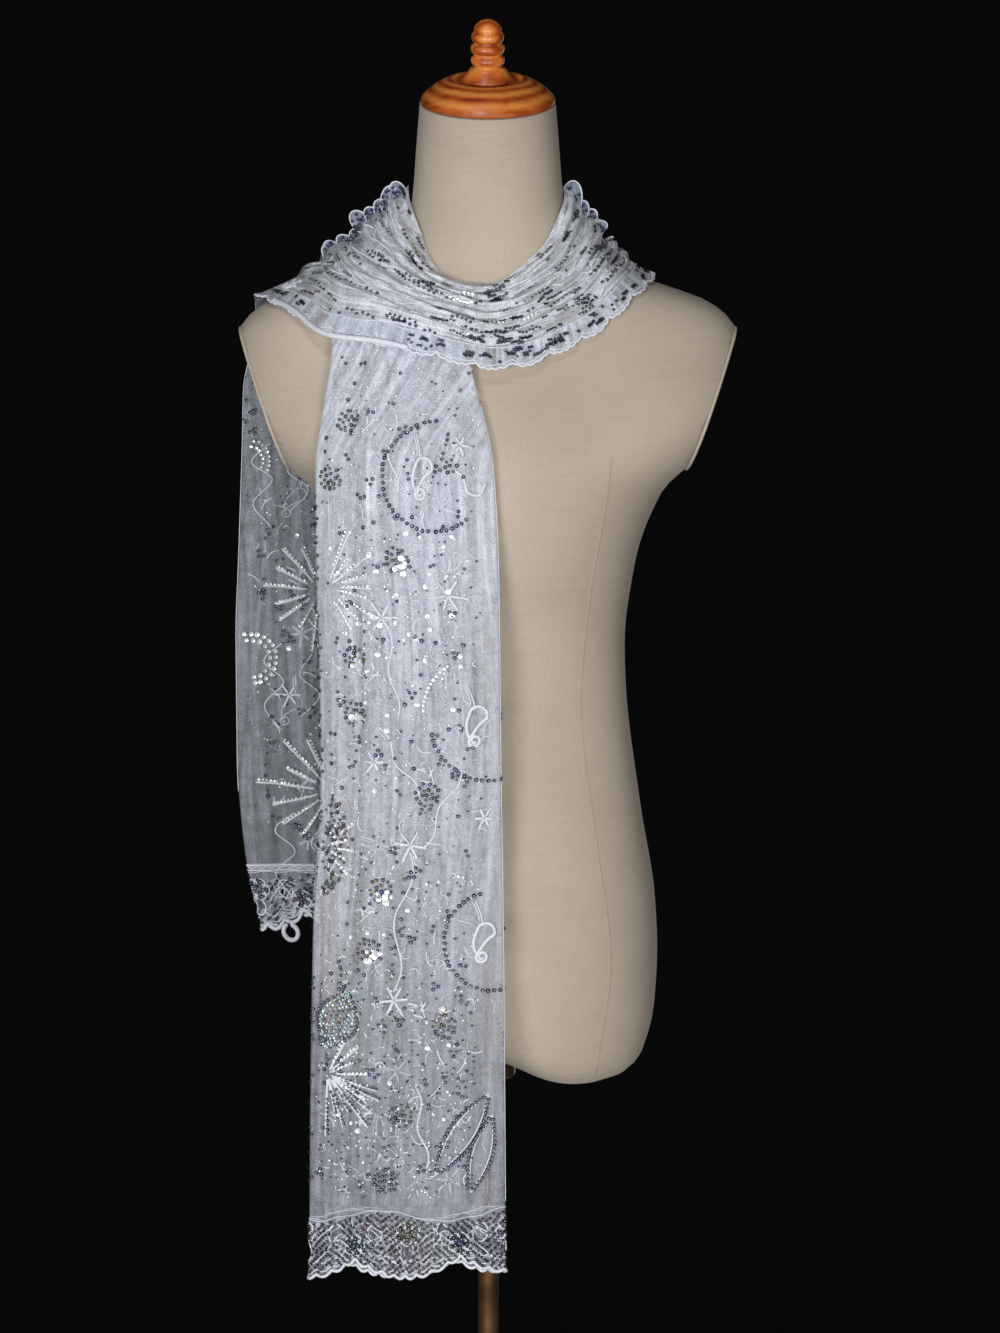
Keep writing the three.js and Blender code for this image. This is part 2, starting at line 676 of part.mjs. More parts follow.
const frontTail = new Stretch({ route: frontTailRoute, runs: TRIPLE_RUNS, foldAt: frontTailFolds });
const nape = new Stretch({ route: napeRoute, runs: OPEN_RUNS, foldAt: napeFolds });
const band = new Stretch({ route: bandRoute, runs: OPEN_RUNS, foldAt: bandFolds });
const backTail = new Stretch({ route: backTailRoute, runs: DOUBLE_RUNS, foldAt: backTailFolds });

// Places along each stretch where its wall has a section, between its seams.
const HEM_ALLOWANCE = 8; // the routes run on below the lowest scallop by this much
const frontSeam = (HEM_DEPTH + HEM_ALLOWANCE) / frontTail.length;
const backSeam = 1 - (HEM_DEPTH + HEM_ALLOWANCE) / backTail.length;
const halfSeam = (stretch) => SEAM / stretch.length;
const LENGTHWISE = { front: 13, nape: 16, band: 20, back: 12 };
const frontStations = steps(frontSeam, 1 - halfSeam(frontTail), LENGTHWISE.front);
const napeStations = steps(halfSeam(nape), 1 - halfSeam(nape), LENGTHWISE.nape);
const bandStations = steps(halfSeam(band), 1 - halfSeam(band), LENGTHWISE.band);
const backStations = steps(halfSeam(backTail), backSeam, LENGTHWISE.back);
const freeFront = frontStations.slice(0, -3); // below the shoulder, where the lace lies free
const freeBack = backStations.slice(3);

// Cells across each wall, for each run and turn of its section in order.
const NAPE_CELLS = [20];
const BAND_CELLS = [28];
const FRONT_CELLS = [12, 2, 20, 2, 12];
const BACK_CELLS = [19, 2, 20];
const FRONT_HEM_CELLS = [15, 2, 18, 2, 15];
const BACK_HEM_CELLS = [20, 2, 20];
const frontHem = { seam: frontSeam, way: -1, phase: 0.75, cells: FRONT_HEM_CELLS };
const backHem = { seam: backSeam, way: 1, phase: 0.29, cells: BACK_HEM_CELLS };
const napeTrims = { outerTrim: EDGE_LACE, innerTrim: EDGE_LACE };

const stolePieces = {
  front_tail: netWall(frontTail, { stations: frontStations, cells: FRONT_CELLS, outerTrim: EDGE_LACE }),
  nape_wrap: netWall(nape, { stations: napeStations, cells: NAPE_CELLS, ...napeTrims }),
  neck_band: netWall(band, { stations: bandStations, cells: BAND_CELLS, outerTrim: EDGE_LACE }),
  back_tail: netWall(backTail, { stations: backStations, cells: BACK_CELLS, innerTrim: EDGE_LACE }),
  front_hem_lace: hemLace(frontTail, frontHem),
  back_hem_lace: hemLace(backTail, backHem),
  front_tail_edge_lace: edgeLace(frontTail, { stations: freeFront, edge: "outer" }),
  nape_edge_lace_lower: edgeLace(nape, { stations: napeStations, edge: "outer" }),
  nape_edge_lace_upper: edgeLace(nape, { stations: napeStations, edge: "inner" }),
  band_edge_lace: edgeLace(band, { stations: bandStations, edge: "outer" }),
  back_tail_edge_lace: edgeLace(backTail, { stations: freeBack, edge: "inner" }),
};

// Materials and assembly

const FINISHES = {
  net: new THREE.MeshStandardMaterial({ color: 0xc9cfde, roughness: 0.75, metalness: 0 }),
  lace: new THREE.MeshStandardMaterial({ color: 0xdfe2ec, roughness: 0.7, metalness: 0 }),
  linen: new THREE.MeshStandardMaterial({ color: 0xc0ae95, roughness: 0.9, metalness: 0 }),
  wood: new THREE.MeshStandardMaterial({ color: 0xa9622c, roughness: 0.25, metalness: 0 }),
  bronze: new THREE.MeshStandardMaterial({ color: 0x5a4634, roughness: 0.4, metalness: 0.8 }),
};

const part = new THREE.Group();
function add(group, name, geometry, finish) {
  const mesh = new THREE.Mesh(geometry, FINISHES[finish]);
  mesh.name = name;
  group.add(mesh);
}

const stole = new THREE.Group();
for (const [name, geometry] of Object.entries(stolePieces)) {
  add(stole, name, geometry, name.includes("lace") ? "lace" : "net");
}

const dressForm = new THREE.Group();
for (const [name, geometry] of Object.entries(bodyPieces())) add(dressForm, name, geometry, "linen");
const neckTop = new THREE.Group();
neckTop.position.set(0, NECK_TOP.y, NECK_TOP.z);
neckTop.rotation.x = degrees(NECK_TOP.tilt);
add(neckTop, "neck_cap", turned(CAP_PROFILE), "wood");
add(neckTop, "finial", turned(finialProfile(), FINIAL_SIDES), "wood");
dressForm.add(neckTop);

const stand = new THREE.Group();
add(stand, "pole_socket", turned(SOCKET_PROFILE), "bronze");
add(stand, "pole", turned(POLE_PROFILE), "bronze");
add(stand, "base", turned(BASE_PROFILE), "bronze");

part.add(stole, dressForm, stand);

export default part;
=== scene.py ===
"""Evening stole on a dress form: the looks of the cloth, its needlework, the form and its stand."""
import math

import bmesh
import bpy
import numpy as np
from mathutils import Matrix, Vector


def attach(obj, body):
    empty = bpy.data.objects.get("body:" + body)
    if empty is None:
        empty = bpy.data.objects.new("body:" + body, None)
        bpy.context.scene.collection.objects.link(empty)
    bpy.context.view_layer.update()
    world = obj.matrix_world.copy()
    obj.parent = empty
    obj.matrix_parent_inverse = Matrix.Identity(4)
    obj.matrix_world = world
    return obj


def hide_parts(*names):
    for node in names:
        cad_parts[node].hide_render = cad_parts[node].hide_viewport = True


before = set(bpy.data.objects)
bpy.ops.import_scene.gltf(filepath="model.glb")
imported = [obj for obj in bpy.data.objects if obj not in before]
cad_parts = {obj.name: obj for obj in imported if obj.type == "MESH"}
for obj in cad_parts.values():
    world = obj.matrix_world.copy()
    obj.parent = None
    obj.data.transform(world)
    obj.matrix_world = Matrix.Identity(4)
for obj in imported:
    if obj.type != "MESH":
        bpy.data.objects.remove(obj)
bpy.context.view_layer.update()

MM = 0.001  # sizes below are in millimetres
SEAM = 0.3  # gap between neighbouring pieces
WALL = 1.2  # thickness of the walls that the cloth stands for
REST = WALL / 2 + SEAM

# Sizes of the dress form and its stand.
FORM_LOWEST = 692
FORM_SIDES = 128
RING_STEP = 7
ARCH_RISE = 25
ARCH_HALF_WIDTH = 42
ARCH_FADE = 110
ARM_PLATE = {"thickness": 2.5, "lean": 19.8, "middle_x": 176, "middle_z": 1248, "lowest": 1165, "inmost": 90}
NECK_TOP = {"y": -10, "z": 1475, "tilt": 15, "tilt_from": 1425}
CAP = {"radius": 52.5, "ring": 18.9, "middle": 17}
POLE_RADIUS = 8.4
SOCKET = {"radius": 22, "bottom": 694, "top": 708.8}
BASE = {"radius": 165, "thickness": 14, "boss_radius": 26, "boss_height": 34}
TURNED_SIDES = 72
PROFILE_STEPS = 6
UNDERSIDE_RINGS = (0.9, 0.75, 0.55, 0.3)  # share of the lowest ring

# Sizes of the stole.
HEM_DEPTH = 60
HEM_SCALLOP = 15
HEM_PITCH = 84
HEM_ALLOWANCE = 8
EDGE_LACE = 20
EDGE_SCALLOP = 5
EDGE_PITCH = 30
HEM_POINTED = 0.9  # nearly pointed notches between the hem's scallops, rounder ones on the narrow lace
EDGE_POINTED = 0.5
TAIL_LAYERS = 3.5
NECK_AXIS_Y = 6
ALONG_STEP = 3.5  # spacing of the cloth's grid along and across it
ACROSS_STEP = 2.1
RUN_POINTS = 140
TURN_POINTS = 10
MEASURE_STEPS = 50
HEADING_STEP = 0.004
HEADING_SHARE = 0.06
JOINING = 0.25
CUT_WIDTH = 450  # width of the cloth before it is gathered
NET_COVER = 0.26  # share that one flat layer of net hides
LACE_COVER = 0.24
CREASE_COVER = 0.22  # extra cover for each millimetre of a crease
FADE = 90  # width over which the innermost layer thins out to its edge

# Sizes of the needlework.
SEQUIN = 1.9  # radius
SEQUIN_SIDES = 8
STITCH = 0.26  # share of a sequin's radius
ROSETTE_SEQUIN = (1.15, 1.75)
ROSETTE_SPACING = 4.2
SEQUIN_TILT = 0.07
SEQUIN_RIM = 0.3  # how far a sequin's rim stands above its middle
STITCH_STAND = 0.2
SMALL_SEQUIN = (1.0, 1.6)
SPECK = (0.55, 1.0)
# Share of the seed beads that are pale: painted glints.
PAINTED_GLINT_SPECKS = 0.55
ROSETTE_JITTER = 0.6
THREAD_SIDES = 6
THREAD_STEP = 2
THREAD_STAND = 0.8  # share of its half height that a thread's middle lies off the cloth
THREAD_TIP = 0.35  # share of its thickness that a thread has at its ends
FINE_THREAD = (0.6, 0.5)  # half width and half height
SCROLL_HEIGHT = 0.8
REPEAT_PITCH = 88
# Clusters of pale sequins, painted glints: count, reach, sequin size and lift off the cloth.
PAINTED_GLINT_CLUSTER = {"count": 12, "reach": 7.5, "sequin": (1.6, 2.6), "layer": (0.9, 2)}
PETAL = {"spacing": 3.5, "inner": 0.38, "end": 0.06, "sequin": 1.6, "rows": 8, "row_sequin": 1.15}
STROKE = {"bow": 0.27, "half_width": (0.32, 0.68), "half_height": 0.42}
STAR = {"arms": 6, "half_width": (0.85, 1.35), "half_height": 0.75}


def table(columns, rows):
    """Rows of numbers under named columns, as one array for each column."""
    values = np.array(rows, float)
    return {column: values[:, i] for i, column in enumerate(columns.split())}


def rows_of(columns):
    """The rows of a table, each as a dictionary."""
    return [dict(zip(columns, row)) for row in zip(*columns.values())]


def unit(vectors):
    return vectors / np.linalg.norm(vectors, axis=-1, keepdims=True)


def smoothstep(value, low, high):
    share = np.clip((value - low) / (high - low), 0, 1)
    return share * share * (3 - 2 * share)


def lengths_along(points):
    """How far each point of a line lies along it."""
    gaps = np.linalg.norm(np.diff(points, axis=0), axis=1)
    return np.concatenate([[0], np.cumsum(gaps)])


def stepped(keys, counts):
    """Even steps between neighbouring keys, with the keys among them."""
    steps = [np.linspace(a, b, n, endpoint=False) for a, b, n in zip(keys, keys[1:], counts)]
    return np.concatenate([*steps, keys[-1:]])


def curve_through(keys, values, at):
    """Values between keys, on a smooth curve that never overshoots its points."""
    step = np.diff(keys)
    slope = np.diff(values) / step
    product = slope[:-1] * slope[1:]
    total = np.where(product > 0, slope[:-1] + slope[1:], 1)
    inner = np.where(product > 0, 2 * product / total, 0)
    tangent = np.concatenate([slope[:1], inner, slope[-1:]])
    at = np.clip(at, keys[0], keys[-1])
    i = np.clip(np.searchsorted(keys, at) - 1, 0, len(step) - 1)
    t = (at - keys[i]) / step[i]
    leave = tangent[i] * step[i]
    arrive = tangent[i + 1] * step[i]
    cubic = 2 * values[i] - 2 * values[i + 1] + leave + arrive
    square = -3 * values[i] + 3 * values[i + 1] - 2 * leave - arrive
    return ((cubic * t + square) * t + leave) * t + values[i]


def row_at(rows, key, at):
    return {column: curve_through(rows[key], values, at) for column, values in rows.items()}


# Dress form: level sections from the underside to the neck's top.
FORM_SECTIONS = table("height half_width front back roundness", [
    [692, 74, -34, 42, 2.1],
    [695, 98, -50, 60, 2.2],
    [702, 113, -66, 78, 2.3],
    [716, 125, -78, 92, 2.3],
    [757, 135, -88, 106, 2.3],
    [798, 137, -93, 113, 2.3],
    [840, 135, -94, 112, 2.3],
    [922, 122, -90, 95, 2.3],
    [1019, 110, -83, 79, 2.3],
    [1051, 109, -86, 80, 2.3],
    [1116, 117, -102, 92, 2.3],
    [1172, 138, -111, 102, 2.3],
    [1203, 172, -106, 105, 2.3],
    [1230, 196, -98, 105, 2.3],
    [1260, 203, -87, 103, 2.25],
    [1294, 198.5, -73, 98, 2.2],
    [1310, 188.5, -66, 94, 2.2],
    [1323, 169, -60, 90, 2.2],
    [1336, 131, -55, 86, 2.15],
    [1350, 97, -50, 80, 2.1],
    [1362, 76, -48, 74, 2.1],
    [1376, 65, -48, 69, 2.05],
    [1405, 59, -50, 60, 2.05],
    [1440, 56, -57, 50, 2],
    [1475, 53, -63, 43, 2],
])


def form_section(height):
    row = row_at(FORM_SECTIONS, "height", height)
    row["middle"] = (row["front"] + row["back"]) / 2
    row["half_depth"] = (row["back"] - row["front"]) / 2
    return row


def form_reach(height, bearing):
    """How far the body's side lies from the winding axis, at heights and bearings from +X."""
    row = form_section(height)
    inner = np.zeros_like(height)
    outer = row["half_width"] + row["half_depth"]
    for _ in range(30):
        reach = (inner + outer) / 2
        x = np.abs(reach * np.cos(bearing) / row["half_width"])
        y = np.abs((NECK_AXIS_Y + reach * np.sin(bearing) - row["middle"]) / row["half_depth"])
        outside = x ** row["roundness"] + y ** row["roundness"] > 1
        outer = np.where(outside, reach, outer)
        inner = np.where(outside, inner, reach)
    return outer


# Stole: sections round the neck, by the turn from the left shoulder's crest round the back.
WINDING = "turn reach outer_height neck_height neck_stand swell fold"
NAPE_SECTIONS = table(WINDING, [
    [0, 128, 1349, 1391, 8, -6, 0.5],
    [30, 130, 1333, 1402, 4, -1, 0.7],
    [60, 107, 1320, 1414, REST, 6, 1],
    [90, 97, 1312, 1418, 1.4, 8, 1],
    [120, 107, 1320, 1416, 1.4, 1, 1],
    [150, 130, 1332, 1413, REST, -5, 0.9],
    [180, 133, 1341, 1410, 1.4, -8, 0.7],
])
BAND_SECTIONS = table(WINDING, [
    [180, 133, 1341, 1410, 1.4, -8, 0.7],
    [202, 128, 1327, 1393, 1.8, -4, 0.9],
    [220, 114, 1299, 1372, 1.8, 2, 1],
    [240, 102, 1281, 1354, 1.8, 6, 1],
    [257, 100, 1272, 1341, 1.4, 6, 0.9],
    [270, 102, 1271, 1336, REST, 7, 0.9],
    [285, 108, 1277, 1337, 1.4, 10, 0.9],
    [300, 117, 1284, 1343, 2, 13, 1],
    [312, 127, 1290, 1356, 3, 14, 1],
    [328, 149, 1297, 1381, 4, 9, 1],
    [342, 160, 1311, 1398, 4, 4, 0.9],
    [352, 173, 1320, 1408, 4, -6, 0.8],
    [360, 186, 1325, 1412, 4, -11, 0.8],
])

# Hanging stretches, in order along the cloth: the places of the two long edges, swell and fold.
HANGING = "outer_x outer_y outer_z inner_x inner_y inner_z swell fold"
FRONT_TAIL_SECTIONS = table(HANGING, [
    [-142, -101, 546, 14, -124, 559, 7, 0.4],
    [-140, -101, 703, 13, -124, 707, 7, 0.4],
    [-137, -101, 831, 12, -124, 833, 8, 0.5],
    [-130, -100, 973, 10, -124, 973, 9, 0.6],
    [-131, -98, 1067, 9, -124, 1067, 10, 0.6],
    [-133, -94, 1128, 8, -123, 1128, 11, 0.7],
    [-133, -91, 1197, 4, -118, 1199, 11, 0.8],
    [-126, -87, 1249, -7, -101, 1252, 7, 0.9],
    [-121, -76, 1283, -18, -88, 1289, 5, 0.9],
    [-121, -63, 1318, -46, -68, 1325, 4, 0.6],
    [-122, -33, 1343, -58, -49, 1355, 3, 0.5],
])
BACK_TAIL_SECTIONS = table(HANGING, [
    [-187, 42, 1320, -72, 46, 1404, -7, 0.8],
    [-190, 82, 1294, -66, 92, 1374, 2, 0.7],
    [-201, 104, 1246, -54, 117, 1304, 4, 0.8],
    [-203, 111, 1197, -40, 122, 1222, 4, 0.9],
    [-207, 113, 1106, -30, 123, 1114, 3, 0.9],
    [-210, 114, 1035, -26, 124, 1037, 3, 0.8],
    [-210, 114, 935, -20, 126, 935, 3, 0.8],
    [-205, 114, 862, -14, 129, 858, 3, 0.6],
    [-189, 114, 782, -8, 130, 774, 3, 0.5],
])

# Large folds: place between the outer edge (0) and the inner one (1), drift, half width and height.
FOLD = "place drift half height"
BAND_FOLDS = table(FOLD, [
    [0.32, 0.02, 0.07, 6],
    [0.44, 0.03, 0.06, 8],
    [0.56, -0.03, 0.07, 7],
    [0.68, 0.02, 0.06, 8],
    [0.79, -0.02, 0.06, 6],
    [0.9, -0.02, 0.06, 6],
])
NAPE_FOLDS = table(FOLD, [
    [0.31, 0.02, 0.07, 6],
    [0.44, -0.02, 0.07, 7],
    [0.57, 0.02, 0.07, 6],
    [0.69, -0.02, 0.06, 6],
])
FRONT_TAIL_FOLDS = table(FOLD, [
    [0.11, -0.01, 0.07, 3],
    [0.3, 0.03, 0.11, 4],
    [0.47, -0.03, 0.06, 3],
    [0.63, 0.03, 0.1, 4],
    [0.85, -0.01, 0.09, 3],
])
BACK_TAIL_FOLDS = table(FOLD, [
    [0.2, -0.04, 0.1, 5],
    [0.36, 0.05, 0.09, 6],
    [0.53, -0.02, 0.1, 5],
    [0.7, 0.03, 0.08, 6],
    [0.86, 0.02, 0.09, 5],
])

# Finer creases: where each starts and ends along the stretch and across it, half width, height and bend.
CREASE = "first last start end half height bend"
BAND_CREASES = table(CREASE, [
    [0.02, 0.5, 0.38, 0.35, 0.022, 1.6, 0.012],
    [0.1, 0.62, 0.5, 0.52, 0.02, 2.2, -0.016],
    [0.0, 0.4, 0.62, 0.6, 0.025, 1.8, 0.02],
    [0.2, 0.8, 0.74, 0.7, 0.02, 2.0, -0.01],
    [0.35, 0.95, 0.4, 0.46, 0.022, 2.2, 0.015],
    [0.3, 0.75, 0.84, 0.87, 0.02, 1.5, -0.02],
    [0.55, 1.0, 0.6, 0.66, 0.025, 2.4, 0.008],
    [0.5, 0.98, 0.28, 0.25, 0.03, 2.0, 0.012],
    [0.62, 1.0, 0.8, 0.82, 0.022, 1.8, -0.016],
    [0.05, 0.35, 0.86, 0.9, 0.02, 1.5, 0.02],
    [0.4, 0.7, 0.2, 0.24, 0.03, 1.4, -0.01],
    [0.6, 0.9, 0.34, 0.31, 0.014, 1.8, 0.015],
    [0.66, 0.97, 0.52, 0.55, 0.013, 1.7, -0.02],
    [0.58, 0.86, 0.71, 0.75, 0.014, 1.6, 0.008],
    [0.7, 1.0, 0.9, 0.88, 0.013, 1.4, 0.012],
    [0.02, 0.28, 0.3, 0.27, 0.014, 1.7, -0.016],
    [0.04, 0.3, 0.45, 0.44, 0.013, 1.8, 0.02],
    [0.06, 0.34, 0.7, 0.73, 0.014, 1.6, -0.01],
    [0.34, 0.6, 0.33, 0.3, 0.014, 1.5, 0.015],
    [0.38, 0.66, 0.6, 0.57, 0.013, 1.7, -0.02],
    [0.42, 0.58, 0.93, 0.95, 0.012, 1.2, 0.008],
])
NAPE_CREASES = table(CREASE, [
    [0.0, 0.45, 0.38, 0.36, 0.025, 1.6, 0.012],
    [0.15, 0.7, 0.52, 0.5, 0.022, 2.0, -0.016],
    [0.3, 0.9, 0.64, 0.62, 0.025, 1.8, 0.02],
    [0.5, 1.0, 0.4, 0.37, 0.022, 1.8, -0.01],
    [0.55, 1.0, 0.76, 0.78, 0.02, 1.4, 0.015],
])
FRONT_TAIL_CREASES = table(CREASE, [
    [0.02, 0.42, 0.2, 0.17, 0.03, 1.5, 0.012],
    [0.1, 0.6, 0.4, 0.36, 0.022, 2.0, -0.016],
    [0.3, 0.8, 0.55, 0.5, 0.03, 1.8, 0.02],
    [0.05, 0.5, 0.72, 0.76, 0.028, 1.8, -0.01],
    [0.45, 0.82, 0.72, 0.62, 0.025, 2.2, 0.015],
    [0.6, 0.86, 0.3, 0.38, 0.018, 2.6, -0.02],
    [0.62, 0.84, 0.86, 0.76, 0.022, 2.0, 0.008],
    [0.4, 0.8, 0.15, 0.2, 0.025, 1.6, 0.012],
    [0.0, 0.3, 0.5, 0.53, 0.03, 1.4, -0.016],
    [0.2, 0.5, 0.91, 0.93, 0.018, 1.4, 0.02],
    [0.5, 0.63, 0.5, 0.54, 0.03, 1.8, 0.03],
    [0.42, 0.52, 0.47, 0.53, 0.03, 2.2, -0.07],
    [0.54, 0.64, 0.46, 0.56, 0.03, 2.0, 0.02],
    [0.77, 0.88, 0.4, 0.38, 0.015, 2.6, 0.0],
    [0.18, 0.34, 0.44, 0.52, 0.012, 2.0, 0.02],
    [0.12, 0.3, 0.2, 0.24, 0.02, 1.6, -0.03],
    [0.3, 0.44, 0.7, 0.74, 0.025, 1.8, 0.04],
    [0.05, 0.2, 0.62, 0.6, 0.02, 1.6, -0.03],
])
BACK_TAIL_CREASES = table(CREASE, [
    [0.2, 0.7, 0.12, 0.09, 0.025, 1.8, 0.012],
    [0.3, 0.95, 0.28, 0.3, 0.025, 2.0, -0.016],
    [0.35, 0.9, 0.45, 0.42, 0.022, 1.8, 0.02],
    [0.25, 0.8, 0.62, 0.6, 0.025, 2.0, -0.01],
    [0.4, 1.0, 0.78, 0.8, 0.025, 1.6, 0.015],
])

# Layers that a section's line runs through: the shares across where a run starts and ends, and its layer.
RUN = "start end layer"
OPEN_RUNS = table(RUN, [[0, 1, 0]])
DOUBLE_RUNS = table(RUN, [[0.97, 0, 1], [0, 1, 0]])
TRIPLE_RUNS = table(RUN, [[0.92, 0, 2], [0, 1, 0], [1, 0.08, 1]])


def fold_height(folds, share, t):
    height = np.zeros(np.broadcast(share, t).shape)
    for fold in rows_of(folds):
        away = np.abs(share - fold["place"] - fold["drift"] * (2 * t - 1)) / fold["half"]
        height += np.where(away < 1, fold["height"] * np.cos(np.minimum(away, 1) * np.pi / 2) ** 2, 0)
    return height


def crease_height(creases, share, t):
    height = np.zeros(np.broadcast(share, t).shape)
    for crease in rows_of(creases):
        run = np.clip((t - crease["first"]) / (crease["last"] - crease["first"]), 0, 1)
        arch = np.sin(np.pi * run)
        place = crease["start"] + (crease["end"] - crease["start"]) * run + crease["bend"] * arch
        away = (share - place) / crease["half"]
        height += crease["height"] * arch * np.exp(-away * away)
    return height


def neck_folds(folds, creases):
    def fold_at(share, t):
        return fold_height(folds, share, t) + crease_height(creases, share, t)
    return fold_at


def tail_folds(folds, creases, neck, join_at):
    """Folds of a hanging stretch, which take up those of the neck stretch that it joins."""
    def fold_at(share, t):
        joined = 1 - smoothstep(np.abs(t - join_at), 0, JOINING)
        own = fold_height(folds, share, t)
        fine = crease_height(creases, share, t) * (1 - joined)
        return own + (fold_height(neck, share, 1 - join_at) - own) * joined + fine
    return fold_at


def winding_route(rows, first_turn):
    """Sections round the neck, for shares along half a turn."""
    def route(t):
        row = row_at(rows, "turn", first_turn + 180 * t)
        bearing = np.radians(180 - row["turn"])
        ahead = np.stack([np.cos(bearing), np.sin(bearing)], -1)
        neck_reach = form_reach(row["neck_height"], bearing) + row["neck_stand"]

        def around(reach, height):
            return np.stack([reach * ahead[:, 0], NECK_AXIS_Y + reach * ahead[:, 1], height], -1)
        heading = np.stack([ahead[:, 1], -ahead[:, 0], np.zeros_like(bearing)], -1)
        return {
            "outer": around(row["reach"], row["outer_height"]),
            "inner": around(neck_reach, row["neck_height"]),
            "heading": heading, "swell": row["swell"], "fold": row["fold"],
        }
    return route


def edge_points(row, edge):
    return np.stack([row[f"{edge}_x"], row[f"{edge}_y"], row[f"{edge}_z"]], -1)


def hanging_rows(section):
    """A neck section written as a row of a hanging stretch, so that the two meet."""
    row = {"swell": section["swell"], "fold": section["fold"]}
    for edge in ("outer", "inner"):
        for i, axis in enumerate("xyz"):
            row[f"{edge}_{axis}"] = section[edge][:, i]
    return row


def hanging_route(rows, join_at, joined_to):
    """Sections of a hanging stretch. It takes the neck's heading where it joins it."""
    join = hanging_rows(joined_to)
    pair = (join, rows) if join_at == 0 else (rows, join)
    rows = {column: np.concatenate([pair[0][column], pair[1][column]]) for column in rows}
    middles = (edge_points(rows, "outer") + edge_points(rows, "inner")) / 2
    rows["along"] = lengths_along(middles)

    def place(t):
        return row_at(rows, "along", t * rows["along"][-1])

    def middle(t):
        row = place(t)
        return (edge_points(row, "outer") + edge_points(row, "inner")) / 2

    def route(t):
        row = place(t)
        after = middle(np.minimum(1, t + HEADING_STEP))
        heading = unit(after - middle(np.maximum(0, t - HEADING_STEP)))
        joined = 1 - smoothstep(np.abs(t - join_at), 0, HEADING_SHARE)
        heading = unit(heading + (joined_to["heading"] - heading) * joined[:, None])
        return {
            "outer": edge_points(row, "outer"), "inner": edge_points(row, "inner"),
            "heading": heading, "swell": row["swell"], "fold": row["fold"],
        }
    return route


def section_lines(runs, width):
    """The line of each section before its folds: places across it, heights, and where its pieces end."""
    runs = rows_of(runs)
    radii = [abs(a["layer"] - b["layer"]) * TAIL_LAYERS / 2 for a, b in zip(runs, runs[1:])]
    places, heights, ends = [], [], [0]

    def add(place, height):
        places.append(place)
        heights.append(np.broadcast_to(height, place.shape))
        ends.append(ends[-1] + place.shape[1])

    for k, run in enumerate(runs):
        heading = np.sign(run["end"] - run["start"])
        out = -run["layer"] * TAIL_LAYERS
        start = run["start"] * width + (heading * radii[k - 1] if k else 0)
        end = run["end"] * width - (heading * radii[k] if k < len(radii) else 0)
        add(start[:, None] + (end - start)[:, None] * np.linspace(0, 1, RUN_POINTS), out)
        if k == len(radii):
            continue
        angle = np.linspace(-90, 90, TURN_POINTS + 2)[1:-1] * np.pi / 180
        rise = np.sign(run["layer"] - runs[k + 1]["layer"])
        place = end[:, None] + heading * radii[k] * np.cos(angle)
        add(place, out + rise * radii[k] * (1 + np.sin(angle)))
    last = ends[-1] - 1
    return np.hstack(places), np.hstack(heights), [min(end, last) for end in ends]


def between(grid, row, column):
    """Values of a grid between its rows and columns."""
    row = np.clip(row, 0, grid.shape[0] - 1.001)
    column = np.clip(column, 0, grid.shape[1] - 1.001)
    i, j = row.astype(int), column.astype(int)
    u, v = (row - i)[..., None], (column - j)[..., None]
    near = grid[i, j] * (1 - v) + grid[i, j + 1] * v
    far = grid[i + 1, j] * (1 - v) + grid[i + 1, j + 1] * v
    return near * (1 - u) + far * u


def sampled(targets, lines, values):
    """Values at targets along the line of each row."""
    return np.array([np.interp(*row) for row in zip(targets, lines, values)])


def route_length(route):
    """Length of a stretch along its middle."""
    section = route(np.linspace(0, 1, MEASURE_STEPS + 1))
    middles = (section["outer"] + section["inner"]) / 2
    return lengths_along(middles)[-1]


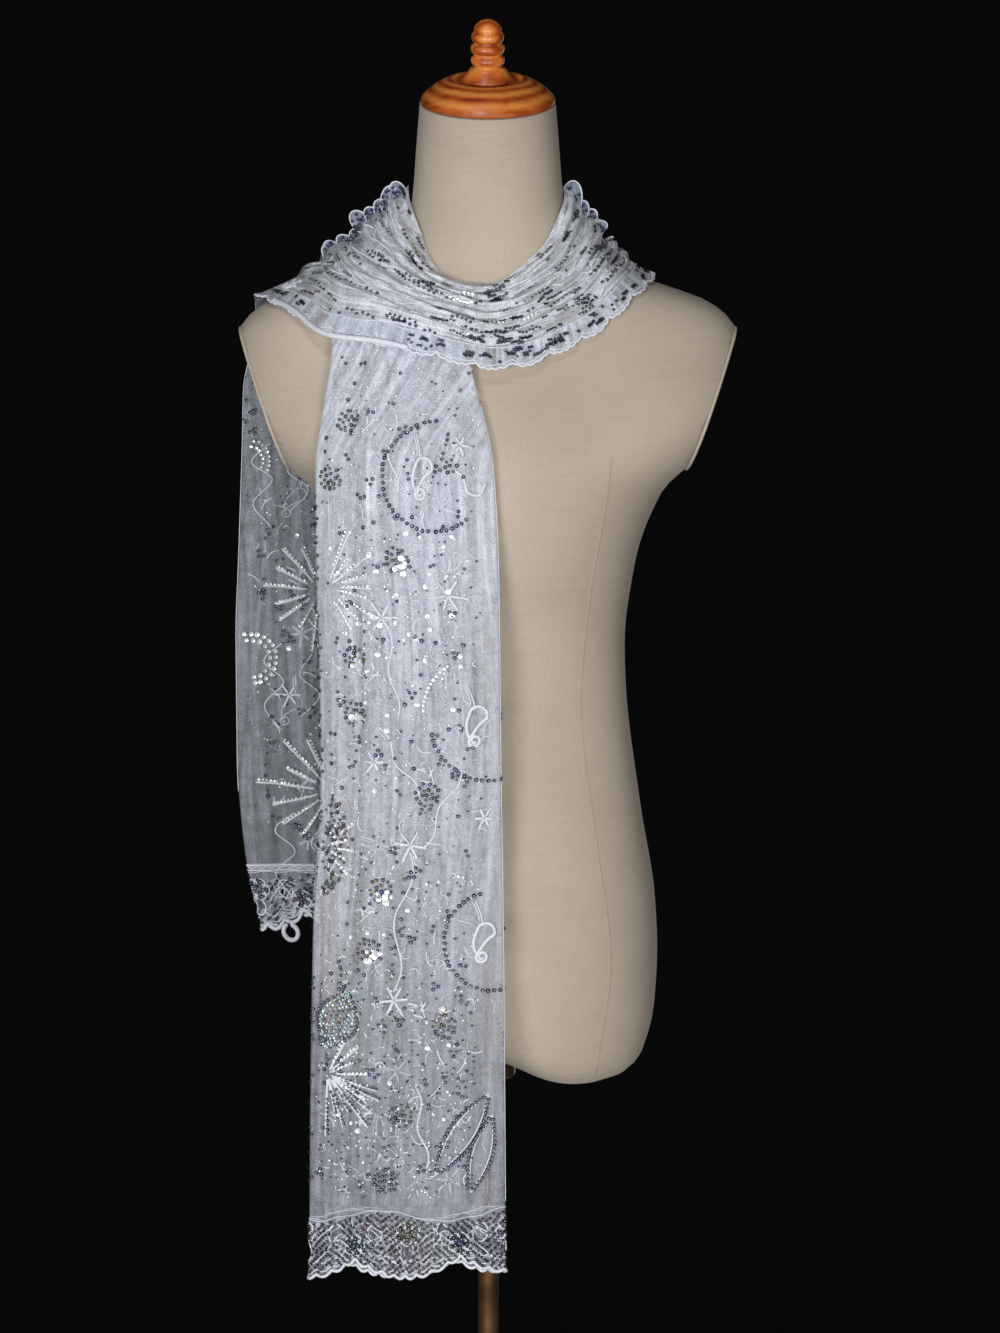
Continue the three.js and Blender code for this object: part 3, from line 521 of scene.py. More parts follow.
class Cloth:
    """A stretch of the stole as a fine grid of points over its whole width, with the ways out of it."""

    def __init__(self, route, runs, fold_at, creases, fullness=(1, 1), seams=(0, 1), outer_lace=False,
                 inner_lace=False, fades=False, painted_shades=None):
        self.creases, self.fullness, self.seams, self.fades = creases, fullness, seams, fades
        self.length = route_length(route)
        keys = np.unique([0, *seams, 1])
        counts = np.maximum(2, np.round(np.diff(keys) * self.length / ALONG_STEP)).astype(int)
        self.t = stepped(keys, counts)
        self.shape_section(route(self.t), runs, fold_at, outer_lace, inner_lace)
        # The net's painted shade and light: a factor on its colour by height, 1 where none is painted.
        self.shade = np.ones(self.points.shape[:2])
        if painted_shades:
            self.shade = np.interp(self.points[..., 2], painted_shades["height"], painted_shades["shade"])

    def shape_section(self, section, runs, fold_at, outer_lace, inner_lace):
        reach = section["inner"] - section["outer"]
        width = np.linalg.norm(reach, axis=1)
        across = unit(reach)
        out = unit(np.cross(across, section["heading"]))
        places, heights, ends = section_lines(runs, width)
        share = np.clip(places / width[:, None], 0, 1)
        bulge = section["swell"][:, None] * 4 * share * (1 - share)
        heights = heights + bulge + section["fold"][:, None] * fold_at(share, self.t[:, None])
        gaps = np.hypot(np.diff(places, axis=1), np.diff(heights, axis=1))
        lengths = np.hstack([np.zeros((len(gaps), 1)), np.cumsum(gaps, axis=1)])
        marks = [lengths[:, end] for end in ends]
        if outer_lace:
            marks.insert(1, np.full(len(lengths), float(EDGE_LACE)))
        if inner_lace:
            marks.insert(-1, marks[-1] - EDGE_LACE)
        self.set_columns(marks)
        place = sampled(self.lengths, lengths, places)
        rise = sampled(self.lengths, lengths, heights)
        self.gather_cover(np.clip(place / width[:, None], 0, 1))
        flat = section["outer"][:, None] + across[:, None] * place[..., None]
        self.points = flat + out[:, None] * rise[..., None]
        along = np.gradient(self.points, axis=0)
        self.normals = unit(np.cross(np.gradient(self.points, axis=1), along))

    def gather_cover(self, share):
        """How much of what lies behind the net hides: more where it is gathered or creased."""
        gathers = CUT_WIDTH / self.lengths[:, -1:] * np.interp(self.t, (0, 1), self.fullness)[:, None]
        creased = 1 + CREASE_COVER * crease_height(self.creases, share, self.t[:, None])
        self.cover = 1 - (1 - NET_COVER) ** (gathers * creased)
        if self.fades:
            left = self.lengths[:, -1:] - self.lengths
            self.cover = self.cover * smoothstep(left, 0, FADE)

    def set_columns(self, marks):
        """Even columns between marks across the cloth, the same number in each row."""
        parts = []
        self.marks = [0]
        for low, high in zip(marks, marks[1:]):
            count = max(3, round(float(np.mean(high - low)) / ACROSS_STEP))
            parts.append(low[:, None] + (high - low)[:, None] * np.arange(count) / count)
            self.marks.append(self.marks[-1] + count)
        self.lengths = np.hstack([*parts, marks[-1][:, None]])

    def panel(self, first, last):
        """The columns at two of the marks across the cloth."""
        return self.marks[first], self.marks[last]

    def row(self, t):
        return np.interp(t, self.t, np.arange(len(self.t)))

    def at(self, t, column, lift=0.0):
        """Points on the cloth and the ways out of it there."""
        row = self.row(t)
        normal = unit(between(self.normals, row, column))
        return between(self.points, row, column) + normal * np.asarray(lift)[..., None], normal

    def rows_between(self, low, high):
        inside = np.flatnonzero((self.t >= low - 1e-9) & (self.t <= high + 1e-9))
        return inside[0], inside[-1] + 1


def new_mesh(name, points, faces):
    mesh = bpy.data.meshes.new(name)
    mesh.from_pydata((points * MM).tolist(), [], faces)
    return mesh


class Joined:
    """Many small shapes gathered into one mesh."""

    def __init__(self):
        self.points, self.faces, self.finishes, self.tints = [], [], [], []
        self.count = 0

    def add(self, points, faces, finish=0, tint=(1, 1, 1)):
        self.points.append(points)
        self.faces.extend((faces + self.count).tolist())
        self.finishes.extend([finish] * len(faces))
        self.tints.append(np.broadcast_to(tint, points.shape))
        self.count += len(points)

    def mesh(self, name):
        points = np.concatenate(self.points)
        mesh = new_mesh(name, points, self.faces)
        mesh.polygons.foreach_set("material_index", self.finishes)
        tint = mesh.color_attributes.new("tint", "FLOAT_COLOR", "POINT")
        colours = np.hstack([np.concatenate(self.tints), np.ones((len(points), 1))])
        tint.data.foreach_set("color", colours.astype(np.float32).ravel())
        return mesh


def grid_faces(rows, columns):
    i, j = np.meshgrid(np.arange(rows - 1), np.arange(columns - 1), indexing="ij")
    a = (i * columns + j).ravel()
    return np.stack([a, a + 1, a + columns + 1, a + columns], 1)


def place_piece(name, mesh, materials, replaced=()):
    """A finished piece on the part's one body."""
    for material in materials:
        mesh.materials.append(material)
    mesh.shade_smooth()
    piece = bpy.data.objects.new(name, mesh)
    bpy.context.scene.collection.objects.link(piece)
    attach(piece, "root")
    if replaced:
        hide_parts(*replaced)
    return piece


def cloth_mesh(name, points, uv, cover, shade=1.0, open_cells=None):
    """A sheet through a grid of points, with its net's cover and painted shade and some of its cells left
    open.
    """
    rows, columns = points.shape[:2]
    faces = grid_faces(rows, columns)
    if open_cells is not None:
        faces = faces[~open_cells.ravel()]
    used, faces = np.unique(faces, return_inverse=True)
    faces = faces.reshape(-1, 4)
    mesh = new_mesh(name, points.reshape(-1, 3)[used], faces.tolist())
    layer = mesh.uv_layers.new(name="cloth")
    flat = uv.reshape(-1, 2)[used][faces.ravel()] * MM
    layer.data.foreach_set("uv", flat.astype(np.float32).ravel())
    for key, value in (("cover", cover), ("shade", shade)):
        layer = mesh.attributes.new(key, "FLOAT", "POINT")
        values = np.broadcast_to(value, (rows, columns)).ravel()[used]
        layer.data.foreach_set("value", values.astype(np.float32))
    return mesh


# Materials

def shader(name, **sockets):
    """A material with the constant sockets of its shader set."""
    material = bpy.data.materials.new(name)
    material.use_nodes = True
    principled = material.node_tree.nodes["Principled BSDF"]
    for socket, value in sockets.items():
        principled.inputs[socket.replace("_", " ")].default_value = value
    return material, material.node_tree, principled


def node(tree, kind, inputs=None, **settings):
    made = tree.nodes.new(kind)
    for name, value in settings.items():
        setattr(made, name, value)
    for socket, value in (inputs or {}).items():
        if isinstance(value, bpy.types.NodeSocket):
            tree.links.new(value, made.inputs[socket])
        else:
            made.inputs[socket].default_value = value
    return made


def coordinates(tree, kind, scale=(1, 1, 1)):
    source = node(tree, "ShaderNodeTexCoord").outputs[kind]
    return node(tree, "ShaderNodeMapping", {"Vector": source, "Scale": scale}).outputs["Vector"]


def noise(tree, where, scale, detail=2.0, distortion=0.0):
    inputs = {"Vector": where, "Scale": scale, "Detail": detail, "Distortion": distortion}
    return node(tree, "ShaderNodeTexNoise", inputs).outputs["Fac"]


def ramp(tree, factor, stops):
    """Colours or values along a factor: pairs of a place and a colour."""
    made = node(tree, "ShaderNodeValToRGB", {"Fac": factor})
    elements = made.color_ramp.elements
    while len(elements) < len(stops):
        elements.new(0.5)
    for element, (place, colour) in zip(elements, stops):
        element.position = place
        element.color = (*colour, 1) if len(colour) == 3 else colour
    return made.outputs["Color"]


def span(tree, value, low, high):
    """A value from 0 to 1 carried to another range."""
    return node(tree, "ShaderNodeMapRange", {"Value": value, "To Min": low, "To Max": high}).outputs["Result"]


def combine(tree, operation, first, second):
    made = node(tree, "ShaderNodeMath", operation=operation)
    for socket, value in zip(made.inputs, (first, second)):
        if isinstance(value, bpy.types.NodeSocket):
            tree.links.new(value, socket)
        else:
            socket.default_value = value
    return made.outputs["Value"]


def weighted(tree, first, first_share, second, second_share):
    """Two values, added by their shares."""
    first = combine(tree, "MULTIPLY", first, first_share)
    return combine(tree, "ADD", first, combine(tree, "MULTIPLY", second, second_share))


def attribute(tree, name):
    return node(tree, "ShaderNodeAttribute", attribute_name=name).outputs["Fac"]


def dimmed(colour, share):
    return tuple(share * part for part in colour)


def bump(tree, principled, height, strength, distance):
    inputs = {"Height": height, "Strength": strength, "Distance": distance}
    made = node(tree, "ShaderNodeBump", inputs)
    tree.links.new(made.outputs["Normal"], principled.inputs["Normal"])


def net_material(name, colour, streak, crinkle):
    """Fine net: it hides more where it is gathered, its threads draw together in streaks along it, and its
    colour carries painted shade and light.
    """
    material, tree, principled = shader(
        name, Roughness=0.7, Sheen_Weight=0.3, Sheen_Roughness=0.4, Specular_IOR_Level=0.25,
    )
    where = coordinates(tree, "UV")
    streaks = noise(tree, coordinates(tree, "UV", (*streak, 1)), 1.0, 3.0, 0.6)
    clouds = noise(tree, where, 80.0, 4.0)
    fine = noise(tree, where, 900.0, 1.0)
    uneven = combine(tree, "ADD", span(tree, streaks, -0.1, 1.6), span(tree, clouds, -0.6, 0.8))
    uneven = combine(tree, "ADD", uneven, span(tree, fine, -0.8, 1.0))
    alpha = combine(tree, "MULTIPLY", attribute(tree, "cover"), uneven)
    tree.links.new(alpha, principled.inputs["Alpha"])
    mottle = weighted(tree, streaks, 0.5, noise(tree, where, 240.0, 4.0, 0.8), 0.5)
    tint = ramp(tree, mottle, [(0.4, dimmed(colour, 0.7)), (0.58, colour)])
    # The shade attribute scales the colour: painted shade and light along the front tail.
    with_painted_shade = {"Vector": tint, "Scale": attribute(tree, "shade")}
    tint = node(tree, "ShaderNodeVectorMath", with_painted_shade, operation="SCALE").outputs["Vector"]
    tree.links.new(tint, principled.inputs["Base Color"])
    bump(tree, principled, streaks, crinkle, 0.002)
    return material


def fill_material():
    """Close lace in the loops of the ruffles."""
    material, tree, principled = shader("lace_fill", Roughness=0.7, Base_Color=(0.36, 0.41, 0.55, 1))
    holes = noise(tree, coordinates(tree, "Object"), 700.0, 2.0)
    tree.links.new(span(tree, holes, 0.1, 1.1), principled.inputs["Alpha"])
    return material


def thread_material():
    """Twisted white thread and cord."""
    material, tree, principled = shader(
        "white_thread", Roughness=0.5, Sheen_Weight=0.4, Sheen_Roughness=0.3, Specular_IOR_Level=0.5,
    )
    where = coordinates(tree, "Object")
    twist = noise(tree, where, 900.0, 2.0)
    tint = ramp(tree, twist, [(0.3, (0.65, 0.69, 0.79)), (0.6, (0.87, 0.9, 0.99))])
    tree.links.new(tint, principled.inputs["Base Color"])
    bump(tree, principled, twist, 0.5, 0.0005)
    return material


def sequin_material(name, metallic, low, high):
    """Metallic film, tinted a little differently on each sequin."""
    material, tree, principled = shader(name, Metallic=metallic)
    tint = node(tree, "ShaderNodeVertexColor", layer_name="tint").outputs["Color"]
    tree.links.new(tint, principled.inputs["Base Color"])
    haze = noise(tree, coordinates(tree, "Object"), 400.0)
    tree.links.new(span(tree, haze, low, high), principled.inputs["Roughness"])
    return material


def linen_material(name, shade=1.0):
    """Fine plain weave with uneven threads, lighter and darker in uneven patches."""
    material, tree, principled = shader(
        name, Roughness=0.88, Sheen_Weight=0.15, Sheen_Roughness=0.5, Specular_IOR_Level=0.2,
    )
    warp = noise(tree, coordinates(tree, "Object", (900, 900, 35)), 1.0, 2.0)
    weft = noise(tree, coordinates(tree, "Object", (40, 40, 900)), 1.0, 2.0)
    weave = combine(tree, "ADD", warp, weft)
    blotches = noise(tree, coordinates(tree, "Object"), 9.0, 4.0)
    mottle = weighted(tree, span(tree, blotches, -0.05, 0.55), 1.0, weave, 0.25)
    stops = [(0.3, (0.46, 0.39, 0.315)), (0.5, (0.53, 0.45, 0.368)), (0.72, (0.6, 0.515, 0.425))]
    # A shade below 1 darkens the whole cover: painted shade, used for the seams.
    tint = ramp(tree, mottle, [(place, dimmed(colour, shade)) for place, colour in stops])
    tree.links.new(tint, principled.inputs["Base Color"])
    bump(tree, principled, weave, 0.2, 0.0004)
    return material


def wood_material():
    """Varnished turned wood: grain that runs across it and rings that the turning left."""
    material, tree, principled = shader(
        "varnished_wood", Roughness=0.42, Coat_Weight=0.3, Coat_Roughness=0.22,
    )
    source = node(tree, "ShaderNodeTexCoord").outputs["Object"]
    axis = (0, -NECK_TOP["y"] * MM, 0)
    around = node(tree, "ShaderNodeMapping", {"Vector": source, "Location": axis}).outputs["Vector"]
    grain = noise(tree, coordinates(tree, "Object", (1, 1.4, 3)), 45.0, 4.0, 1.0)
    rings = node(tree, "ShaderNodeTexWave", {
        "Vector": around, "Scale": 42.0, "Distortion": 1.1, "Detail": 2.0, "Detail Scale": 1.2,
    }, wave_type="RINGS", rings_direction="Z").outputs["Fac"]
    mixed = weighted(tree, rings, 0.5, grain, 0.62)
    stops = [(0.2, (0.26, 0.03, 0.006)), (0.5, (0.6, 0.14, 0.02)), (0.85, (0.82, 0.3, 0.06))]
    tree.links.new(ramp(tree, mixed, stops), principled.inputs["Base Color"])
    bump(tree, principled, mixed, 0.08, 0.0006)
    return material


def bronze_material():
    """Brown lacquered metal, brushed and a little worn."""
    material, tree, principled = shader("brown_metal", Metallic=0.75, Coat_Weight=0.2, Coat_Roughness=0.2)
    where = coordinates(tree, "Object")
    wear = noise(tree, where, 60.0, 5.0)
    tint = ramp(tree, wear, [(0.35, (0.12, 0.058, 0.026)), (0.7, (0.22, 0.11, 0.05))])
    tree.links.new(tint, principled.inputs["Base Color"])
    tree.links.new(span(tree, wear, 0.28, 0.48), principled.inputs["Roughness"])
    bump(tree, principled, noise(tree, where, 500.0), 0.1, 0.0004)
    return material


NET_COLOUR = (0.83, 0.88, 1.0)
GATHERED_COLOUR = (0.86, 0.91, 1.0)
LOOSE_STREAK = (150, 9)  # streaks to a metre across the net and along it
GATHERED_STREAK = (380, 24)
NET = net_material("net", NET_COLOUR, LOOSE_STREAK, 0.5)
GATHERED_NET = net_material("gathered_net", GATHERED_COLOUR, GATHERED_STREAK, 0.55)
LACE_NET = net_material("lace_net", (0.75, 0.81, 0.95), LOOSE_STREAK, 0.3)
THREAD = thread_material()
FILM = sequin_material("dark_film", 1.0, 0.38, 0.58)
# Pale shiny film for the sequins that stand for glints: painted glints.
PAINTED_GLINT_FILM = sequin_material("painted_glint_film", 0.35, 0.2, 0.4)
LINEN = linen_material("linen_cover")
# Darker linen for the seams: painted shade of seam grooves.
LINEN_PAINTED_SEAM_SHADE = linen_material("linen_painted_seam_shade", 0.8)
WOOD = wood_material()
BRONZE = bronze_material()
FILL = fill_material()
WORKED = (THREAD, FILM, PAINTED_GLINT_FILM, FILL)  # finishes of the needlework, by number

DARK_TINTS = np.array([(0.09, 0.1, 0.13), (0.045, 0.055, 0.12)])
ROW_TINT = np.array((0.03, 0.035, 0.085))
ROSETTE_TINTS = np.array([  # black, navy, bronze and teal, mixed in each rosette
    (0.06, 0.065, 0.09),
    (0.045, 0.05, 0.12),
    (0.12, 0.08, 0.05),
    (0.05, 0.095, 0.105),
])
HEM_TINTS = np.array([  # violet, teal, rose, gold and navy, one after the other along the hem
    (0.07, 0.055, 0.095),
    (0.05, 0.075, 0.09),
    (0.095, 0.055, 0.07),
    (0.095, 0.09, 0.07),
    (0.035, 0.04, 0.065),
])
PETAL_TINTS = np.array([(0.3, 0.5, 0.55), (0.5, 0.5, 0.4), (0.07, 0.09, 0.13), (0.75, 0.85, 0.92)])
HEM_TINT_WIDTH = 30
HEM_TINT_SHIFT = 0.23
# Pale tint of the sequins that stand for glints: painted glints.
PAINTED_GLINT_TINT = np.array((0.93, 0.95, 1.0))


# Needlework

class Needlework:
    """Threads and sequins worked on a cloth."""

    def __init__(self, cloth, seed):
        self.cloth = cloth
        self.random = np.random.default_rng(seed)
        self.joined = Joined()

    def drawn(self, tints, count):
        """A tint for each of a number of sequins, drawn from a few."""
        return tints[self.random.integers(0, len(tints), count)]

    def thread(self, t, column, half_width, half_height):
        """A thread along places on the cloth, thin at its two ends."""
        points, normals = self.cloth.at(t, column, np.full(len(t), half_height * THREAD_STAND))
        self.cord(points, normals, half_width, half_height)

    def cord(self, points, normals, half_width, half_height):
        taper = np.ones(len(points))
        taper[[0, -1]] = THREAD_TIP
        tangents = unit(np.gradient(points, axis=0) + 1e-9)
        sides = unit(np.cross(tangents, normals))
        ups = np.cross(sides, tangents)
        angle = 2 * np.pi * np.arange(THREAD_SIDES) / THREAD_SIDES
        wide = sides[:, None] * (np.cos(angle)[None] * (half_width * taper)[:, None])[..., None]
        high = ups[:, None] * (np.sin(angle)[None] * (half_height * taper)[:, None])[..., None]
        rings = (points[:, None] + wide + high).reshape(-1, 3)
        i, k = np.meshgrid(np.arange(len(points) - 1), np.arange(THREAD_SIDES), indexing="ij")
        a = (i * THREAD_SIDES + k).ravel()
        b = (i * THREAD_SIDES + (k + 1) % THREAD_SIDES).ravel()
        skin = np.stack([a, a + THREAD_SIDES, b + THREAD_SIDES, b], 1)
        near_end = np.array([[0, 1, 2, 3], [0, 3, 4, 5]])
        far_end = near_end[:, ::-1] + (len(points) - 1) * THREAD_SIDES
        self.joined.add(rings, np.vstack([skin, near_end, far_end]))

    def sequins(self, t, column, radius=SEQUIN, bright=False, layer=0.9, tints=None, stitched=True):
        """Sequins at places on the cloth, each cupped, tilted its own way and sewn on by a white stitch."""
        t, column = np.atleast_1d(t).astype(float), np.atleast_1d(column).astype(float)
        points, normals = self.cloth.at(t, column, layer + 0.5 * self.random.random(len(t)))
        self.discs(points, normals, radius, bright, tints, stitched)

    def discs(self, points, normals, radius=SEQUIN, bright=False, tints=None, stitched=True):
        count = len(points)
        facing = unit(normals + SEQUIN_TILT * self.random.normal(size=(count, 3)))
        sides = unit(np.cross(facing, self.random.normal(size=(count, 3))))
        # Sequins flagged as glints take the pale tint and film: painted glints.
        if bright:
            tints = np.broadcast_to(PAINTED_GLINT_TINT, (count, 3))
        elif tints is None:
            tints = self.drawn(DARK_TINTS, count)
        shade = 1 if bright else 0.6 + 0.6 * self.random.random((count, 1))
        angle = 2 * np.pi * np.arange(SEQUIN_SIDES) / SEQUIN_SIDES
        ups = np.cross(facing, sides)
        circle = sides[:, None] * np.cos(angle)[None, :, None] + ups[:, None] * np.sin(angle)[None, :, None]
        circle *= np.broadcast_to(radius, (count,))[:, None, None]
        self.add_discs(points, facing, circle, tints * shade, 2 if bright else 1)
        if stitched:
            stitch = points[:, None] + STITCH * circle[:, ::2] + facing[:, None] * STITCH_STAND
            self.joined.add(stitch.reshape(-1, 3), np.arange(count * 4).reshape(-1, 4))

    def add_discs(self, points, facing, circle, tints, finish):
        outer = points[:, None] + circle + facing[:, None] * SEQUIN_RIM
        inner = points[:, None] + STITCH * circle
        rings = np.concatenate([outer, inner], 1).reshape(-1, 3)
        k = np.arange(SEQUIN_SIDES)
        ahead = (k + 1) % SEQUIN_SIDES
        cell = np.stack([k, ahead, ahead + SEQUIN_SIDES, k + SEQUIN_SIDES], 1)
        starts = np.arange(len(points)) * 2 * SEQUIN_SIDES
        faces = (cell[None] + starts[:, None, None]).reshape(-1, 4)
        self.joined.add(rings, faces, finish, np.repeat(tints, 2 * SEQUIN_SIDES, axis=0))

    def finish(self, name, slot):
        return place_piece(name, self.joined.mesh(name), WORKED)


class Spot:
    """A place on one panel of a cloth, with its own millimetres to the right and up."""

    def __init__(self, work, panel, height, across, turn=0.0):
        cloth = work.cloth
        self.work, self.cloth = work, cloth
        self.first, self.last = panel
        self.turn = math.radians(turn)
        heights = cloth.points[:, (self.first + self.last) // 2, 2]
        order = np.argsort(heights)
        self.t = np.interp(height, heights[order], cloth.t[order])
        self.up = np.sign(heights[-1] - heights[0])
        self.across = across

    def to_cloth(self, x, y):
        x, y = np.asarray(x, float), np.asarray(y, float)
        right = x * math.cos(self.turn) - y * math.sin(self.turn)
        up = x * math.sin(self.turn) + y * math.cos(self.turn)
        t = np.clip(self.t + self.up * up / self.cloth.length, 0, 1)
        row = np.clip(np.round(self.cloth.row(t)).astype(int), 0, len(self.cloth.t) - 1)
        width = self.cloth.lengths[row, self.last] - self.cloth.lengths[row, self.first]
        return t, self.first + (self.across + right) / width * (self.last - self.first)

    def sequins(self, x, y, **look):
        self.work.sequins(*self.to_cloth(x, y), **look)

    def thread(self, x, y, half_width, half_height):
        gaps = np.hypot(np.diff(x), np.diff(y))
        along = np.concatenate([[0], np.cumsum(gaps)])
        count = max(3, int(along[-1] / THREAD_STEP) + 2)
        even = np.linspace(0, along[-1], count)
        x, y = np.interp(even, along, x), np.interp(even, along, y)
        self.work.thread(*self.to_cloth(x, y), half_width, half_height)


def polar(radius, angle):
    return radius * np.cos(np.radians(angle)), radius * np.sin(np.radians(angle))


def rosette(spot, rings=2):
    """A round cluster of sequins, uneven as sewn by hand: one in the middle and rings of six and twelve."""
    work = spot.work
    places = [(np.zeros(1), np.zeros(1))]
    for ring in range(1, rings + 1):
        places.append(polar(ring * ROSETTE_SPACING, np.arange(6 * ring) * 60 / ring + 12 * ring))
    x, y = np.concatenate(places, axis=1)
    x = x + ROSETTE_JITTER * work.random.normal(size=len(x))
    y = y + ROSETTE_JITTER * work.random.normal(size=len(y))
    tints = work.drawn(ROSETTE_TINTS, len(x))
    spot.sequins(x, y, radius=work.random.uniform(*ROSETTE_SEQUIN, len(x)), tints=tints)


def painted_glint_cluster(spot):
    """Large pale sequins crowded together, so that they overlap: a cluster of painted glints."""
    draw = spot.work.random
    for _ in range(PAINTED_GLINT_CLUSTER["count"]):
        x, y = polar(PAINTED_GLINT_CLUSTER["reach"] * draw.uniform(0, 1), draw.uniform(0, 360))
        radius = draw.uniform(*PAINTED_GLINT_CLUSTER["sequin"])
        spot.sequins([x], [y], radius=radius, bright=True, layer=draw.uniform(*PAINTED_GLINT_CLUSTER["layer"]))


def petal(spot, length, width, filled):
    """A pointed petal: two rows of small sequins with a thread inside each, and in some more rows between."""
    bend = np.linspace(0, 1, 20)
    dots = np.linspace(PETAL["end"], 1 - PETAL["end"], int(length / PETAL["spacing"]))
    inner = PETAL["inner"] * width
    for side in (-1, 1):
        spot.thread(side * inner * np.sin(np.pi * bend), length * bend, *FINE_THREAD)
        outline = side * width / 2 * np.sin(np.pi * dots)
        spot.sequins(outline, length * dots, radius=PETAL["sequin"])
    if filled:
        for k, across in enumerate(np.linspace(-inner, inner, PETAL["rows"])):
            place = dots + (k % 2) * 0.5 / len(dots)
            tints = spot.work.drawn(PETAL_TINTS, len(dots))
            row = across * np.sin(np.pi * place), length * place
            spot.sequins(*row, radius=PETAL["row_sequin"], tints=tints)


def panel_width(work, panel):
    return float(np.mean(work.cloth.lengths[:, panel[1]] - work.cloth.lengths[:, panel[0]]))


def spots_over(work, panel, heights, across, count, turned=False):
    """Spots strewn over a panel between two heights and two places across, turned or upright."""
    draw = work.random
    for _ in range(count):
        place = draw.uniform(*heights), draw.uniform(*across)
        yield Spot(work, panel, *place, draw.uniform(0, 360) if turned else 0)


def spots_from(work, panel, places):
    """A spot for each row of a table of places, with the row itself."""
    for row in rows_of(places):
        yield Spot(work, panel, row["height"], row["across"], row.get("turn", 0)), row


def strokes(work, panel, heights, count, longest=15):
    """Short bent stitches in white thread, strewn over a panel."""
    draw = work.random
    bend = np.linspace(0, 1, 7)
    across = (6, panel_width(work, panel) - 6)
    for spot in spots_over(work, panel, heights, across, count, turned=True):
        length = draw.uniform(0.2, 1) * longest
        bow = STROKE["bow"] * longest * draw.uniform(-1, 1)
        half_width = draw.uniform(*STROKE["half_width"])
        spot.thread(length * bend, bow * np.sin(np.pi * bend), half_width, STROKE["half_height"])


def dense_patch(work, panel, place, reach, count):
    """Small sequins and stitches crowded into an oval patch."""
    draw = work.random
    middle = Spot(work, panel, *place)
    share = np.sqrt(draw.random(count))
    x, y = polar(share, draw.uniform(0, 360, count))
    inside = place[1] + reach[1] * x > 2
    x, y = reach[1] * x[inside], reach[0] * y[inside]
    tints = work.drawn(ROSETTE_TINTS, len(x))
    middle.sequins(x, y, radius=draw.uniform(*SMALL_SEQUIN, len(x)), tints=tints)
    for start in np.stack([x, y], 1)[::4]:
        end = start + polar(draw.uniform(4, 9), draw.uniform(0, 360))
        middle.thread(*np.stack([start, end], 1), *FINE_THREAD)


def sequin_arc(spot, radius, start, end, size=1.4, **look):
    """A row of sequins along an arc, sewn by hand and so a little uneven."""
    draw = spot.work.random
    count = int(abs(math.radians(end - start)) * radius / (2.6 * size)) + 1
    x, y = polar(radius, np.linspace(start, end, count))
    x = x + 0.3 * draw.normal(size=count)
    y = y + 0.3 * draw.normal(size=count)
    spot.sequins(x, y, radius=size * draw.uniform(0.85, 1.1, count), **look)


def scroll(spot, size, half_width):
    """A corded stem that bends over in a round head, sweeps down and ends in a small coil."""
    stem = np.linspace(0, 1, 16)
    bow = 0.06 * size * np.sin(np.pi * stem)
    spot.thread(bow, size * (1.9 - 1.2 * stem), 0.8, 0.75)
    spot.thread(bow - 2, size * (1.85 - 1.0 * stem), 0.6, 0.55)
    bend = np.linspace(0, 1, 24)
    side = size * (0.5 * bend ** 1.6 - 0.68 - 0.16 * np.sin(np.pi * bend))
    spot.thread(side, size * (1.3 * bend - 0.62), half_width, SCROLL_HEIGHT)
    head_x, head_y = polar(0.42 * size, np.linspace(140, -40, 20))
    sweep_x = 0.32 * size - 1.15 * size * bend ** 0.8
    sweep_y = -0.27 * size - 0.7 * size * bend ** 1.3
    coil = np.linspace(0, 1, 36)
    coil_x, coil_y = polar(0.3 * size * (1 - 0.75 * coil), 175 + 520 * coil)
    x = np.concatenate([head_x, sweep_x[1:], coil_x - 0.53 * size])
    y = np.concatenate([head_y + 0.3 * size, sweep_y[1:] + 0.3 * size, coil_y - 0.7 * size])
    spot.thread(x, y, half_width, SCROLL_HEIGHT)


def star(spot, arm):
    """Satin-stitched arms from one middle, uneven as worked by hand."""
    draw = spot.work.random
    for angle in np.arange(STAR["arms"]) * 360 / STAR["arms"]:
        reach = arm * draw.uniform(0.7, 1.1)
        angle = angle + draw.uniform(-10, 10)
        x, y = polar(np.array([0.5, 0.35 * reach, 0.75 * reach, reach]), angle)
        spot.thread(x, y, draw.uniform(*STAR["half_width"]), STAR["half_height"])


def sunburst(spot, inner, outer, start, end, rays, half_width=0.9, **look):
    """Uneven rays spread over an arc, each a satin bar with a row of sequins beside it."""
    draw = spot.work.random
    for k, angle in enumerate(np.linspace(start, end, rays)):
        reach = outer * (1 - 0.2 * (k % 2)) * draw.uniform(0.82, 1.05)
        near = inner * draw.uniform(0.4, 1.2)
        angle = angle + draw.uniform(-3, 3)
        spot.thread(*polar(np.linspace(near, reach, 8), angle), half_width * draw.uniform(0.7, 1.2), 0.7)
        dots = np.arange(reach * 0.4, reach, 3.4)
        spot.sequins(*polar(dots, angle + 2.5), radius=draw.uniform(1.0, 1.45, len(dots)), **look)


def leaf_spray(spot, size):
    """A short stem with three leaves."""
    bend = np.linspace(0, 1, 8)
    spot.thread(np.linspace(0, 0.2 * size, 8), np.linspace(0, size, 8), *FINE_THREAD)
    for k, side in enumerate((-1, 1, -1)):
        base = size * (0.3 + 0.25 * k)
        spot.thread(side * size * 0.35 * bend, base + size * 0.3 * bend ** 0.7, 0.9, 0.6)


def vine(spot, waypoints, half_width=0.55):
    """A meandering thread through waypoints of right and up."""
    x, y = np.array(waypoints, float).T
    keys = np.arange(len(x))
    even = np.linspace(0, len(x) - 1, 14 * len(x))
    spot.thread(curve_through(keys, x, even), curve_through(keys, y, even), half_width, 0.55)


